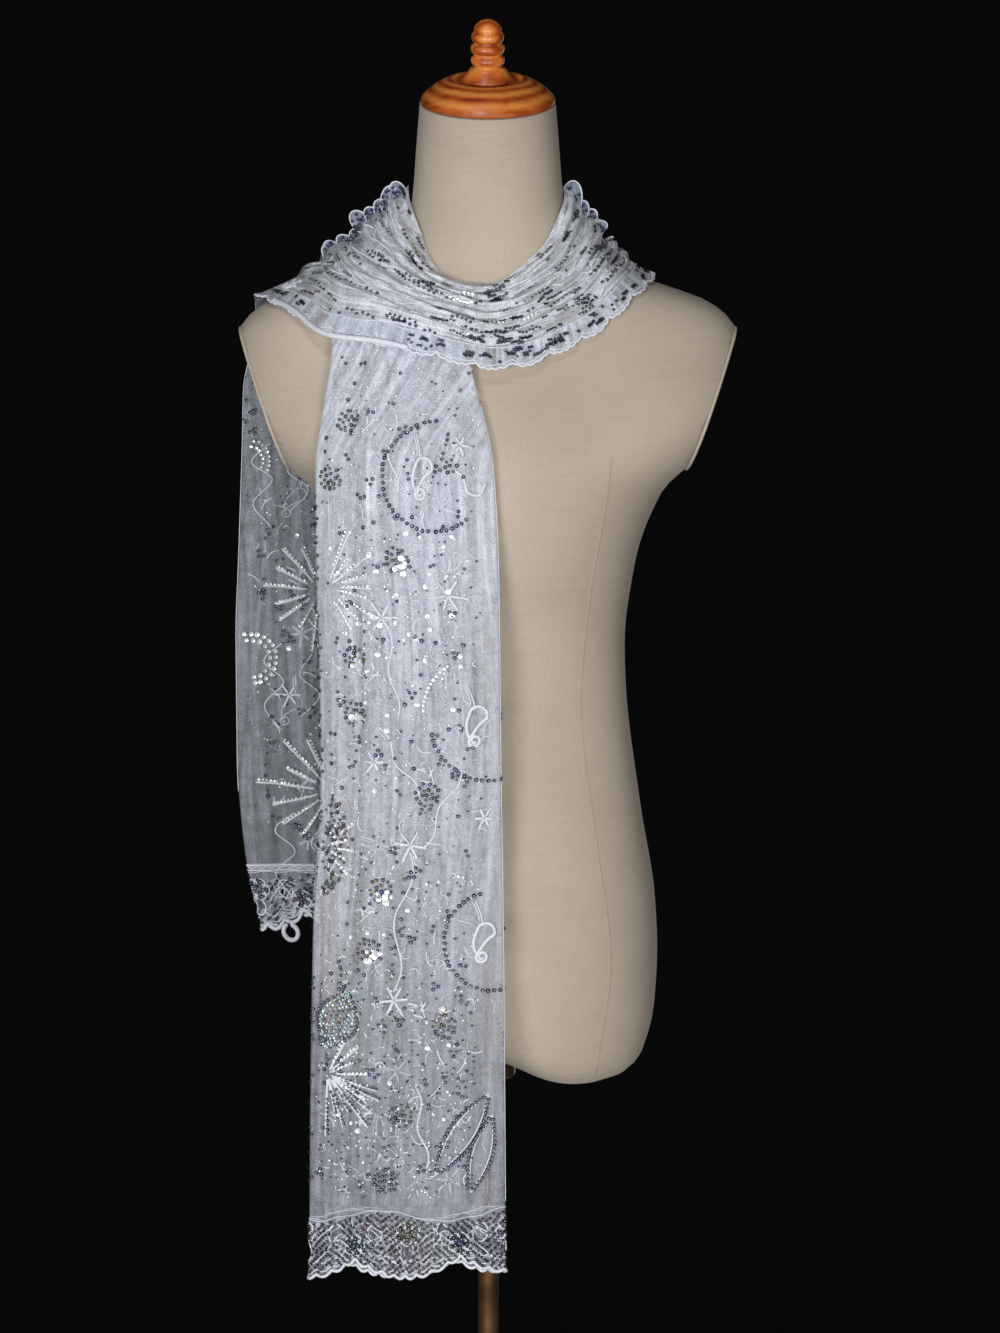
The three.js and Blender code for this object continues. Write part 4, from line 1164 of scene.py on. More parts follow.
def swaying_stem(spot, length):
    """A long stem in white thread that sways from side to side on its way down."""
    down = np.linspace(0, 1, 40)
    spot.thread(0.045 * length * np.sin(3 * np.pi * down), -length * down, 0.8, 0.6)


def scatter(work, panel, heights, count):
    """Single sequins, twos and threes, sewn unevenly over a panel."""
    draw = work.random
    across = (5, panel_width(work, panel) - 5)
    for spot in spots_over(work, panel, heights, across, count, turned=True):
        kind = draw.random()
        if kind < 0.6:
            spot.sequins([0], [0], radius=SEQUIN * draw.uniform(0.6, 0.95))
        elif kind < 0.78:
            spot.sequins(*polar(2.5, np.array([90, 210, 330])), radius=SEQUIN * draw.uniform(0.7, 0.95))
        else:
            spot.sequins([0, 3.8], [0, 1.2], radius=SEQUIN * 0.8)


def specks(work, panel, heights, count):
    """Seed beads, dark ones and pale ones that are painted glints, strewn between the motifs."""
    draw = work.random
    across = (3, panel_width(work, panel) - 3)
    for spot in spots_over(work, panel, heights, across, count):
        bright = draw.random() < PAINTED_GLINT_SPECKS
        spot.sequins([0], [0], radius=draw.uniform(*SPECK), bright=bright, stitched=False)


def painted_glint_scatter(work, panel, heights, count):
    """Single pale sequins, painted glints, smaller and larger ones mixed."""
    across = (8, 0.85 * panel_width(work, panel))
    for spot in spots_over(work, panel, heights, across, count):
        spot.sequins([0], [0], radius=0.9 + 1.5 * work.random.random() ** 2, bright=True)


def plain_repeat(work, panel, heights):
    """The same kinds of motif on the panels that show through or lie behind."""
    draw = work.random
    width = panel_width(work, panel)
    for k, height in enumerate(np.arange(heights[0] + 30, heights[1] - 20, REPEAT_PITCH)):
        side = 0.3 if k % 2 else 0.7
        spot = Spot(work, panel, height, width * side, draw.uniform(-20, 20))
        sequin_arc(spot, 38, 150, 330)
        scroll(spot, 15, 0.45)
        rosette(Spot(work, panel, height + 30, width * (1 - side)))
        star(Spot(work, panel, height - 25, width * (0.9 - 0.8 * side), 15), 13)
        leaf_spray(Spot(work, panel, height + 10, width * (0.95 - 0.9 * side), draw.uniform(-40, 40)), 22)
    scatter(work, panel, heights, int((heights[1] - heights[0]) / 10))
    strokes(work, panel, heights, int((heights[1] - heights[0]) / 8))


# The four stretches

nape_route = winding_route(NAPE_SECTIONS, 0)
band_route = winding_route(BAND_SECTIONS, 180)
front_route = hanging_route(FRONT_TAIL_SECTIONS, 1, nape_route(np.array([0.0])))
back_route = hanging_route(BACK_TAIL_SECTIONS, 0, band_route(np.array([1.0])))


# Painted shade and light on the front tail's net by height: darker towards the hem, brighter than its own
# colour near the top.
FRONT_PAINTED_SHADE = table("height shade", [
    [640, 0.77],
    [700, 0.75],
    [755, 0.68],
    [805, 0.82],
    [860, 0.88],
    [1000, 0.93],
    [1075, 1.0],
    [1160, 1.07],
    [1215, 1.05],
])
FRONT_SEAM = (HEM_DEPTH + HEM_ALLOWANCE) / route_length(front_route)
BACK_SEAM = 1 - (HEM_DEPTH + HEM_ALLOWANCE) / route_length(back_route)
front_cloth = Cloth(
    front_route, TRIPLE_RUNS,
    tail_folds(FRONT_TAIL_FOLDS, FRONT_TAIL_CREASES, NAPE_FOLDS, 1), FRONT_TAIL_CREASES,
    fullness=(1.3, 2.6), seams=(FRONT_SEAM, 1), outer_lace=True, fades=True, painted_shades=FRONT_PAINTED_SHADE,
)
nape_cloth = Cloth(
    nape_route, OPEN_RUNS, neck_folds(NAPE_FOLDS, NAPE_CREASES), NAPE_CREASES,
    fullness=(1.3, 1.3), outer_lace=True, inner_lace=True,
)
band_cloth = Cloth(
    band_route, OPEN_RUNS, neck_folds(BAND_FOLDS, BAND_CREASES), BAND_CREASES,
    fullness=(1.5, 1.5), outer_lace=True,
)
back_cloth = Cloth(
    back_route, DOUBLE_RUNS,
    tail_folds(BACK_TAIL_FOLDS, BACK_TAIL_CREASES, BAND_FOLDS, 0), BACK_TAIL_CREASES,
    fullness=(0.85, 0.6), seams=(0, BACK_SEAM), inner_lace=True,
)


def net_piece(name, cloth, marks, node_name, material=NET):
    """The net of a stretch, between its seams and its lace."""
    low, high = cloth.rows_between(*cloth.seams)
    first, last = cloth.panel(*marks)
    cut = np.s_[low:high, first:last + 1]
    points = cloth.points[cut]
    along = np.broadcast_to(cloth.t[low:high, None] * cloth.length, points.shape[:2])
    uv = np.stack([cloth.lengths[cut], along], -1)
    mesh = cloth_mesh(name, points, uv, cloth.cover[cut], cloth.shade[cut])
    return place_piece(name, mesh, (material,), (node_name,))


# Front tail: its visible panel is worked from motifs given one by one, the two behind it with a plain repeat.
FRONT_PANELS = [front_cloth.panel(k, k + 1) for k in (1, 3, 5)]
# Rosettes; the flagged ones get a cluster of pale sequins beside them, painted glints.
FRONT_ROSETTES = table("height across bright", [
    [1235, 22, 0],
    [1190, 12, 0],
    [1129, 68, 1],
    [1053, 29, 1],
    [1009, 28, 1],
    [948, 86, 0],
    [872, 52, 1],
    [825, 44, 1],
    [765, 106, 0],
    [693, 72, 0],
    [641, 60, 0],
])
FRONT_RINGS = table("height across radius start end", [
    [1192, 98, 41, 95, 310],
    [1003, 133, 44, 190, 325],
    [833, 144, 40, 110, 290],
])
FRONT_STARS = table("height across arm", [
    [1102, 106, 16],
    [1084, 52, 14],
    [972, 43, 11],
    [930, 131, 10],
    [908, 74, 15],
    [785, 65, 14],
    [1216, 118, 9],
])
# Sunbursts; in the flagged ones the sequins are pale, painted glints.
FRONT_BURSTS = table("height across inner outer start end rays bright", [
    [1106, 8, 12, 46, -62, 64, 9, 1],
    [725, 12, 6, 42, -36, 62, 6, 1],
    [725, 12, 6, 54, -92, -18, 8, 0],
    [905, 4, 10, 30, -50, 60, 6, 1],
])
FRONT_PETALS = table("height across turn length width filled", [
    [745, 10, -22, 50, 34, 1],
    [645, 100, -32, 78, 22, 0],
    [630, 128, -14, 66, 18, 0],
])
FRONT_SPRAYS = table("height across turn size", [
    [1146, 92, 25, 20],
    [1226, 36, -35, 18],
    [951, 92, 25, 20],
    [1031, 36, -35, 18],
    [766, 92, 25, 20],
    [846, 36, -35, 18],
    [686, 36, -35, 18],
])
FRONT_STEMS = table("height across turn length", [
    [1240, 60, 8, 62],
    [1078, 55, 6, 72],
    [1000, 46, 32, 64],
    [968, 112, -24, 68],
    [903, 74, -5, 112],
    [716, 84, 8, 66],
])


def work_front_tail():
    work = Needlework(front_cloth, 11)
    behind, shown, between_layers = FRONT_PANELS
    front_rounds(work, shown)
    front_motifs(work, shown)
    strew_front(work, shown)
    left_fold, right_fold = (np.mean(front_cloth.panel(k, k + 1)) for k in (2, 4))
    fold_beads(work, left_fold, (880, 1180), 90)
    fold_beads(work, left_fold, (630, 880), 40)
    fold_line(work, right_fold)
    for panel in (behind, between_layers):
        plain_repeat(work, panel, (635, 1240))
    return work.finish("front_tail_needlework", "net")


RING_SEQUIN = 1.75
RING_SCROLL = {"size": 17, "half_width": 1.45}
RING_VINE = [(16, 6), (24, 0), (28, -12), (36, -14), (42, -4)]


def front_rounds(work, panel):
    """The rosettes, some with painted glints of pale sequins at one side, and the large open rings with a
    scroll in each.
    """
    for spot, row in spots_from(work, panel, FRONT_ROSETTES):
        rosette(spot)
        if row["bright"]:
            painted_glint_cluster(Spot(work, panel, row["height"] - 4, row["across"] + 4))
    for spot, row in spots_from(work, panel, FRONT_RINGS):
        sequin_arc(spot, row["radius"], row["start"], row["end"], size=RING_SEQUIN)
        scroll(Spot(work, panel, row["height"] + 2, row["across"] - 6, 20), **RING_SCROLL)
        rosette(Spot(work, panel, row["height"] + 8, row["across"] + 14), rings=1)
        vine(spot, RING_VINE, 1.2)
    # An arc of pale sequins: painted glints.
    sequin_arc(Spot(work, panel, 1012, 130), 46, 128, 178, bright=True)


def front_motifs(work, panel):
    """The stars, sunbursts, petals, sprays and stems."""
    for spot, row in spots_from(work, panel, FRONT_STARS):
        star(spot, row["arm"])
    for spot, row in spots_from(work, panel, FRONT_BURSTS):
        reach = (row["inner"], row["outer"], row["start"], row["end"])
        sunburst(spot, *reach, int(row["rays"]), bright=bool(row["bright"]))
    for spot, row in spots_from(work, panel, FRONT_PETALS):
        petal(spot, row["length"], row["width"], row["filled"])
    for spot, row in spots_from(work, panel, FRONT_SPRAYS):
        leaf_spray(spot, row["size"])
    for spot, row in spots_from(work, panel, FRONT_STEMS):
        swaying_stem(spot, row["length"])


def strew_front(work, panel):
    """Stitches, seed beads and single sequins between the motifs."""
    dense_patch(work, panel, (905, 8), (40, 14), 120)
    strokes(work, panel, (632, 1275), 150)
    strokes(work, panel, (628, 1280), 420, longest=7)
    specks(work, panel, (628, 1290), 700)
    specks(work, panel, (628, 800), 350)
    scatter(work, panel, (628, 1150), 165)
    scatter(work, panel, (1150, 1290), 38)
    # Pale single sequins: painted glints.
    painted_glint_scatter(work, panel, (1040, 1150), 46)
    painted_glint_scatter(work, panel, (985, 1150), 44)
    painted_glint_scatter(work, panel, (640, 985), 36)


def fold_line(work, column):
    """A pale line of drawn threads along the fold between two layers."""
    low, high = work.cloth.seams
    t = np.linspace(max(low, 0.06), min(high, 0.8), 220)
    work.thread(t, np.full_like(t, column), 0.4, 0.35)


def fold_beads(work, column, heights, count):
    """Dark sequins crowded along the fold between two layers."""
    draw = work.random
    middle = work.cloth.points[:, int(column), 2]
    order = np.argsort(middle)
    t = np.interp(draw.uniform(*heights, count), middle[order], work.cloth.t[order])
    tints = work.drawn(ROSETTE_TINTS, count)
    columns = column + draw.uniform(-0.5, 2.5, count)
    work.sequins(t, columns, radius=draw.uniform(*SMALL_SEQUIN, count), tints=tints)


# Back tail: the panel that shows beside the form and the outer one behind it.
BACK_PANELS = [back_cloth.panel(k, k + 1) for k in (0, 2)]
BACK_VINES = (
    [(-6, 50), (12, 34), (-4, 16), (14, -4), (0, -26)],
    [(-30, 40), (-18, 22), (-34, 4), (-16, -14)],
)


def work_back_tail():
    work = Needlework(back_cloth, 23)
    facing, behind = BACK_PANELS
    # Sunbursts and arcs of pale sequins: painted glints.
    for height, outer in ((1078, 54), (908, 64)):
        sunburst(Spot(work, facing, height, 111), 12, outer, -78, 70, 8, half_width=1.25, bright=True)
    for radius in (16, 21.5):
        sequin_arc(Spot(work, facing, 1022, 173), radius, 80, 265, size=2.0, bright=True)
        sequin_arc(Spot(work, facing, 1196, 169), radius, 120, 210, size=1.5, bright=True)
    star(Spot(work, facing, 990, 142), 12)
    for height in (1160, 985, 840):
        for waypoints in BACK_VINES:
            vine(Spot(work, facing, height, 150), waypoints)
    strokes(work, facing, (865, 1270), 70)
    specks(work, facing, (865, 1290), 300)
    scatter(work, facing, (860, 1290), 170)
    painted_glint_scatter(work, facing, (880, 1260), 45)
    fold_line(work, np.mean(back_cloth.panel(1, 2)))
    plain_repeat(work, behind, (860, 1290))
    return work.finish("back_tail_needlework", "net")


def work_neck(name, cloth, panel, seed, zones):
    """Sequins in short close rows along the folds of a gathered stretch, with fine threads between them."""
    work = Needlework(cloth, seed)
    for zone in rows_of(zones):
        for _ in range(int(zone["rows"])):
            fold_row(work, panel, zone)
        for _ in range(int(zone["threads"])):
            fold_thread(work, panel, zone)
    return work.finish(name, "net")


def zone_place(work, panel, zone):
    draw = work.random
    share = draw.uniform(zone["bottom"], zone["top"])
    return draw.uniform(zone["low"], zone["high"]), panel[0] + (panel[1] - panel[0]) * share


def fold_row(work, panel, zone):
    """A row along the folds: some of them dashes of sequins that touch, the others single dots."""
    draw = work.random
    start, column = zone_place(work, panel, zone)
    count = int(draw.integers(1, 8))
    is_dash = draw.random() < 0.3
    spacing = draw.uniform(1.9, 2.6) if is_dash else draw.uniform(2.9, 4.4)
    t = start + spacing / work.cloth.length * np.arange(count)
    columns = column + 0.25 * draw.normal(size=count) + draw.uniform(-0.2, 0.2) * np.arange(count)
    inside = t < 0.995
    # Some rows are pale sequins: painted glints.
    bright = draw.random() < zone["bright"]
    tints = np.broadcast_to(ROW_TINT, (int(inside.sum()), 3))
    size = draw.uniform(0.95, 1.25) if is_dash else draw.uniform(1.1, 1.5)
    work.sequins(t[inside], columns[inside], size, bright, tints=tints, stitched=not is_dash)


def fold_thread(work, panel, zone):
    draw = work.random
    start, column = zone_place(work, panel, zone)
    t = np.linspace(start, min(0.99, start + draw.uniform(0.05, 0.16)), 24)
    sway = 1.6 * np.sin(np.linspace(0, draw.uniform(4, 9), 24))
    work.thread(t, np.clip(column + sway, panel[0], panel[1] - 1), 0.5, 0.45)


# Zones of a gathered stretch: from and to along it, from and to across it, rows, threads, and the share of
# rows in pale sequins, painted glints.
ZONE = "low high bottom top rows threads bright"
BAND_ZONES = table(ZONE, [
    [0.01, 0.3, 0.08, 0.98, 34, 12, 0.02],
    [0.3, 0.44, 0.04, 0.95, 17, 8, 0.12],
    [0.42, 0.6, 0.04, 0.35, 22, 6, 0.12],
    [0.42, 0.56, 0.55, 0.95, 15, 5, 0.3],
    [0.55, 0.96, 0.08, 0.98, 50, 18, 0.03],
    [0.2, 0.85, 0.0, 0.08, 18, 4, 0.05],
    [0.02, 0.28, 0.0, 0.3, 14, 6, 0.0],
    [0.82, 0.98, 0.0, 0.35, 8, 6, 0.0],
])
NAPE_ZONES = table(ZONE, [
    [0.02, 0.95, 0.05, 0.95, 60, 22, 0.03],
    [0.35, 0.65, 0.05, 0.4, 16, 4, 0.1],
])


# Lace

def scallop(place, pointed):
    """Depth of a row of scallops along it: 0 in the notches and 1 at the middle of each."""
    return np.abs(np.sin(np.pi * place)) ** pointed


# Gaps beside the flowers of each hem scallop: place along it, depth, half width and half depth.
HEM_GAPS = table("place depth half_width half_depth", [
    [0.185, 22.5, 5.2, 7],
    [0.815, 22.5, 5.2, 7],
    [0.5, 37.5, 4.8, 6.5],
])
# Style of each hem: its scallops, bumps and cord, its close needlework, and its braid and loose loop.
HEM_STYLES = {
    "front": {
        "phase": 0.75, "bump_pitch": 10.5, "bump_depth": 3.2, "cord": 1.3,
        "top": 4, "swag": 9, "kept": 0.92, "braid": False, "loop": 0,
    },
    "back": {
        "phase": 0.29, "bump_pitch": 15, "bump_depth": 6, "cord": 1.7,
        "top": 8, "swag": 0, "kept": 0.35, "braid": True, "loop": 163,
    },
}
SWAG_PITCH = 110
HEM_THREAD = (0.55, 0.5)  # half width and half height
HEM_ROWS = 30


class Hem:
    """The wide lace below a tail, measured along the seam and down from it."""

    def __init__(self, cloth, seam, way, style):
        self.cloth, self.seam, self.way, self.style = cloth, seam, way, style
        self.phase = style["phase"]
        self.seam_lengths = cloth.lengths[int(round(float(cloth.row(seam))))]
        self.width = self.seam_lengths[-1]

    def depth(self, along):
        """Depth of the corded edge: large scallops with small uneven bumps along them."""
        large = HEM_SCALLOP * (1 - scallop(along / HEM_PITCH + self.phase, HEM_POINTED))
        uneven = along + 1.8 * np.sin(along / 17) + 1.1 * np.sin(along / 7.3)
        small = self.style["bump_depth"] * (1 - np.abs(np.sin(np.pi * uneven / self.style["bump_pitch"])))
        return HEM_DEPTH - large - small

    def top(self, along):
        """How far below the seam the close needlework starts: it hangs in shallow swags."""
        return self.style["top"] + self.style["swag"] * np.sin(np.pi * (along + 12) / SWAG_PITCH) ** 2

    def to_cloth(self, along, down):
        t = self.seam + self.way * (SEAM + down) / self.cloth.length
        return t, np.interp(along, self.seam_lengths, np.arange(len(self.seam_lengths)))

    def scallops(self):
        """Where each scallop starts along the hem."""
        first = math.floor(self.phase)
        last = math.ceil(self.width / HEM_PITCH + self.phase)
        return [(k - self.phase) * HEM_PITCH for k in range(first, last + 1)]

    def is_gap(self, along, down):
        place = np.mod(along / HEM_PITCH + self.phase, 1)
        inside = np.zeros(along.shape, bool)
        for gap in rows_of(HEM_GAPS):
            x = (place - gap["place"]) * HEM_PITCH / gap["half_width"]
            y = (down - gap["depth"]) / gap["half_depth"]
            inside |= x * x + y * y < 1
        return inside


def hem_ground(name, hem):
    along = hem.seam_lengths
    share = np.linspace(0, 1, HEM_ROWS + 1)[:, None]
    down = share * (hem.depth(along) - 1.5)[None]
    wide = np.broadcast_to(along, down.shape)
    points, _ = hem.cloth.at(*hem.to_cloth(wide, down))
    middle_along = (wide[:-1, :-1] + wide[:-1, 1:]) / 2
    middle_down = (down[:-1, :-1] + down[1:, 1:]) / 2
    uv = np.stack([wide, down], -1)
    mesh = cloth_mesh(name, points, uv, LACE_COVER, open_cells=hem.is_gap(middle_along, middle_down))
    return place_piece(name, mesh, (LACE_NET,), (f"{name}_lace",))


def stretches(inside):
    """The unbroken stretches of a row of places that lie inside."""
    changes = np.diff(np.concatenate([[0], inside.astype(int), [0]]))
    return np.flatnonzero(changes).reshape(-1, 2)


def hem_line(work, hem, along, down, half_width, half_height, limit=0.0):
    """A thread over the lace, left out beyond its ends and in its gaps."""
    inside = (along > 0.5) & (along < hem.width - 0.5) & (down > limit) & (down < hem.depth(along) - 0.5)
    for first, last in stretches(inside):
        if last - first > 3:
            work.thread(*hem.to_cloth(along[first:last], down[first:last]), half_width, half_height)


def hem_dots(work, hem, along, down, **look):
    """Sequins over the lace, left out near its ends and in its gaps, tinted by where they lie along it."""
    along, down = np.asarray(along, float), np.asarray(down, float)
    inside = (along > 2) & (along < hem.width - 2) & ~hem.is_gap(along, down)
    inside &= (down > hem.top(along) + 1) & (down < hem.depth(along) - 2)
    if inside.any():
        drift = along[inside] + 12 * np.sin(down[inside] / 9)
        zone = np.floor(drift / HEM_TINT_WIDTH + HEM_TINT_SHIFT).astype(int) % len(HEM_TINTS)
        work.sequins(*hem.to_cloth(along[inside], down[inside]), tints=HEM_TINTS[zone], **look)


def hem_borders(work, hem):
    """The corded scalloped edge, the lines that follow it inside, and the line or braid at the top."""
    along = np.arange(0.6, hem.width, 1.2)
    edge = hem.depth(along) - 1.6
    hem_line(work, hem, along, edge, hem.style["cord"], 1.0)
    hem_line(work, hem, along, edge - 3.8, *FINE_THREAD)
    hem_line(work, hem, along, edge - 10.5, *HEM_THREAD)
    hem_line(work, hem, along, hem.top(along) - 0.8 + 0.7 * np.sin(along / 4.1), 0.35, 0.35)
    if hem.style["braid"]:
        for down, half_width in ((1.2, 0.9), (5.6, 0.6)):
            hem_line(work, hem, along, np.full_like(along, down), half_width, 0.6)
        zigzag = 2.4 + 1.6 * np.abs(np.mod(along / 4, 2) - 1)
        hem_line(work, hem, along, zigzag, 0.5, 0.4)


def hem_flower(work, hem, along, down, petals, size, turn):
    """A flower with corded petals and a sequinned middle."""
    loop = np.linspace(0, 1, 18)
    swing = 34 * np.sin(2 * np.pi * loop)
    reach = size * np.sin(np.pi * loop) ** 0.8 + 1.5
    dots = np.array([0.5, 0.85]) * size
    for k in range(petals):
        heading = turn + 360 * k / petals
        x, y = polar(reach, heading + swing)
        hem_line(work, hem, along + x, down + y, *HEM_THREAD)
        x, y = polar(dots, heading)
        hem_dots(work, hem, along + x, down + y)
    hem_dots(work, hem, [along], [down])


def hem_motifs(work, hem):
    """Flowers and leaf rows in each scallop, no two quite the same, and cords round its gaps."""
    draw = work.random
    bend = np.linspace(0, 1, 24)
    for start in hem.scallops():
        middle = start + HEM_PITCH / 2 + draw.uniform(-3, 3)
        petals = int(draw.integers(5, 8))
        hem_flower(work, hem, middle, 22, petals, draw.uniform(7.5, 10), draw.uniform(0, 60))
        hem_flower(work, hem, start + draw.uniform(-3, 4), 31, 5, draw.uniform(6, 8.5), draw.uniform(0, 70))
        for side in (-1, 1):
            reach = draw.uniform(20, 28)
            hem_line(work, hem, middle + side * (7 + reach * bend), 47 - 24 * bend ** 1.4, *HEM_THREAD)
            hem_line(work, hem, middle + side * (8 + 0.8 * reach * bend), 34 - 18 * bend ** 0.7, 0.5, 0.45)
        for gap in rows_of(HEM_GAPS):
            x, y = polar(1.0, np.linspace(0, 360, 26))
            along = start + gap["place"] * HEM_PITCH + x * (gap["half_width"] + 1)
            hem_line(work, hem, along, gap["depth"] + y * (gap["half_depth"] + 1), *FINE_THREAD)


# Close filling: width of its zones, slant of the rows, spacing along and between rows, and its stitches.
HEM_FILLING = {"zone": 42, "slant": 38, "step": 2.8, "row": 4.2, "jitter": 0.6, "stitches": 110}
FILLING_LOOK = {"radius": 1.3, "stitched": False}


def hem_filling(work, hem):
    """Small sequins in rows that slant the other way in each next zone, with short stitches over them."""
    draw = work.random
    half = HEM_FILLING["zone"] / 2
    steps = np.arange(-HEM_DEPTH, HEM_DEPTH, HEM_FILLING["step"])
    for zone, middle in enumerate(np.arange(half, hem.width + half, HEM_FILLING["zone"])):
        turn = math.radians(HEM_FILLING["slant"] * (-1) ** zone + draw.uniform(-7, 7))
        for row in np.arange(-HEM_DEPTH, HEM_DEPTH, HEM_FILLING["row"]):
            kept = steps[draw.random(len(steps)) < hem.style["kept"]]
            along, down = slanted(kept, row, turn)
            along = along + HEM_FILLING["jitter"] * draw.normal(size=len(along))
            inside = np.abs(along) < half
            hem_dots(work, hem, middle + along[inside], down[inside], **FILLING_LOOK)
    for _ in range(HEM_FILLING["stitches"]):
        hem_stitch(work, hem)


def hem_stitch(work, hem):
    """A short bent stitch anywhere on the lace."""
    draw = work.random
    bend = np.linspace(0, 1, 8)
    start = draw.uniform(4, hem.width - 4)
    reach_along, reach_down = polar(draw.uniform(4, 12), draw.uniform(0, 360))
    down = hem.top(start) + draw.uniform(2, 36)
    along = start + reach_along * bend + draw.uniform(-2, 2) * np.sin(np.pi * bend)
    hem_line(work, hem, along, down + reach_down * bend, 0.4, 0.4, hem.top(start))


def slanted(steps, row, turn):
    """Places of one slanting row, from the middle of its zone and down from the seam."""
    along = steps * math.cos(turn) - row * math.sin(turn)
    return along, HEM_DEPTH / 2 + steps * math.sin(turn) + row * math.cos(turn)


def hem_pieces(name, hem, seed):
    ground = hem_ground(name, hem)
    work = Needlework(hem.cloth, seed)
    hem_borders(work, hem)
    hem_motifs(work, hem)
    hem_filling(work, hem)
    if hem.style["loop"]:
        hanging_loop(work, hem, hem.style["loop"])
    return ground, work.finish(f"{name}_needlework", "lace")


def hanging_loop(work, hem, along):
    """A loop of the edge's cord that has come loose and hangs down."""
    x, y = polar(1.0, np.linspace(100, 440, 26))
    edge = float(hem.depth(np.array([along]))[0])
    t, column = hem.to_cloth(along + 6.5 * x, edge + 8 - 7 * y)
    points, normals = hem.cloth.at(np.minimum(t, 1), column, 1.0)
    points[:, 2] -= np.maximum(t - 1, 0) * hem.cloth.length
    work.cord(points, normals, 2.0, 1.4)


class Edge:
    """The narrow lace along one long edge of a cloth, measured along the edge and in from its tips."""

    def __init__(self, cloth, edge, low, high, fullness, cord=1.0, bare=(0, 0)):
        self.cloth, self.is_outer, self.cord, self.bare = cloth, edge == "outer", cord, bare
        first, last = cloth.rows_between(low, high)
        self.along = lengths_along(cloth.points[first:last, 0 if self.is_outer else -1])
        self.t = cloth.t[first:last]
        self.length = self.along[-1]
        self.strip = cloth.marks[1] if self.is_outer else cloth.marks[-1] - cloth.marks[-2]
        self.cover = 1 - (1 - LACE_COVER) ** fullness

    def to_cloth(self, along, off):
        t = np.interp(along, self.along, self.t)
        column = np.asarray(off) / EDGE_LACE * self.strip
        return t, column if self.is_outer else self.cloth.marks[-1] - column

    def tip(self, along):
        return EDGE_SCALLOP * (1 - scallop(along / EDGE_PITCH, EDGE_POINTED))


EDGE_ROWS = 8
EDGE_FLECK_SPACING = 4.4


def edge_flecks(work, edge):
    """Dark sequins in short uneven dashes along the lace."""
    draw = work.random
    for _ in range(int(edge.length / EDGE_FLECK_SPACING)):
        dots = draw.uniform(2, edge.length - 8) + 2.4 * np.arange(draw.integers(1, 4))
        off = draw.uniform(7, EDGE_LACE - 3) + 0.4 * draw.normal(size=len(dots))
        place = dots[0] / edge.length
        if not edge.bare[0] < place < edge.bare[1]:
            work.sequins(*edge.to_cloth(dots, off), radius=draw.uniform(*SMALL_SEQUIN), stitched=False)


def edge_ground(name, edge):
    along = np.linspace(0, edge.length, int(edge.length / 2))
    share = np.linspace(0, 1, EDGE_ROWS + 1)[:, None]
    tip = edge.tip(along) + 0.8
    off = tip[None] + share * (EDGE_LACE - SEAM - tip)[None]
    wide = np.broadcast_to(along, off.shape)
    points, _ = edge.cloth.at(*edge.to_cloth(wide, off))
    mesh = cloth_mesh(name, points, np.stack([wide, off], -1), edge.cover)
    return place_piece(name, mesh, (LACE_NET,), (name.replace("edge", "edge_lace"),))


def edge_threads(work, edge):
    """The corded scalloped tip, a line inside it and one along the seam."""
    along = np.arange(0.5, edge.length, 1.2)
    bumps = 1.5 * (1 - np.abs(np.sin(np.pi * (along + 1.6 * np.sin(along / 11)) / 6.5)))
    thin = (0.5 * edge.cord, 0.45 * edge.cord)
    tip = edge.tip(along)
    work.thread(*edge.to_cloth(along, tip + 1.2 + bumps), 1.05 * edge.cord, 0.9 * edge.cord)
    work.thread(*edge.to_cloth(along, tip + 4.4 + 0.8 * np.sin(along / 5.7)), *thin)
    work.thread(*edge.to_cloth(along, EDGE_LACE - 1.4 + 0.7 * np.sin(along / 6.3)), *thin)


def edge_roll(work, edge):
    """A thick cord where the lace rolls over and shows no sequins."""
    along = np.arange(edge.bare[0], edge.bare[1] + 0.1, 0.004) * edge.length
    along = along[along < edge.length - 1]
    work.thread(*edge.to_cloth(along, 3.2 + 1.2 * np.sin(along / 19)), 2.4, 1.6)


def edge_pieces(name, edge, seed):
    ground = edge_ground(name, edge)
    work = Needlework(edge.cloth, seed)
    edge_threads(work, edge)
    edge_flecks(work, edge)
    if edge.bare[1]:
        edge_roll(work, edge)
    return ground, work.finish(f"{name}_needlework", "lace")


RUFFLE = {"height": 9, "stand": 0.45, "wave": 1.6, "rows": 5}
# Loops that stand up on the ruffles: place from the neck, width, height, depth below the crest, and lean.
LOOP = "place width height sink lean"
LEFT_LOOPS = table(LOOP, [
    [-4, 14, 20, 10, -0.2],
    [5, 13, 22, 12, 0.1],
    [14, 15, 18, 11, -0.3],
    [27, 12, 14, 8, -0.3],
    [36, 16, 18, 9, -0.4],
    [49, 12, 12, 7, -0.2],
    [58, 15, 13, 7, -0.5],
    [73, 11, 9, 5, -0.3],
])
RIGHT_LOOPS = table(LOOP, [
    [2, 17, 30, 15, 0.1],
    [15, 14, 20, 11, 0.3],
    [27, 11, 14, 7, 0.2],
    [37, 13, 10, 5, 0.4],
])
LOOP_FINISH = WORKED.index(FILL)
LOOP_FACING = unit(np.array((0, -1, 0.2)))
LOOP_CORDS = ((1.0, 0.6), (0.62, 0.45))  # size of each cord's ellipse, and its half width


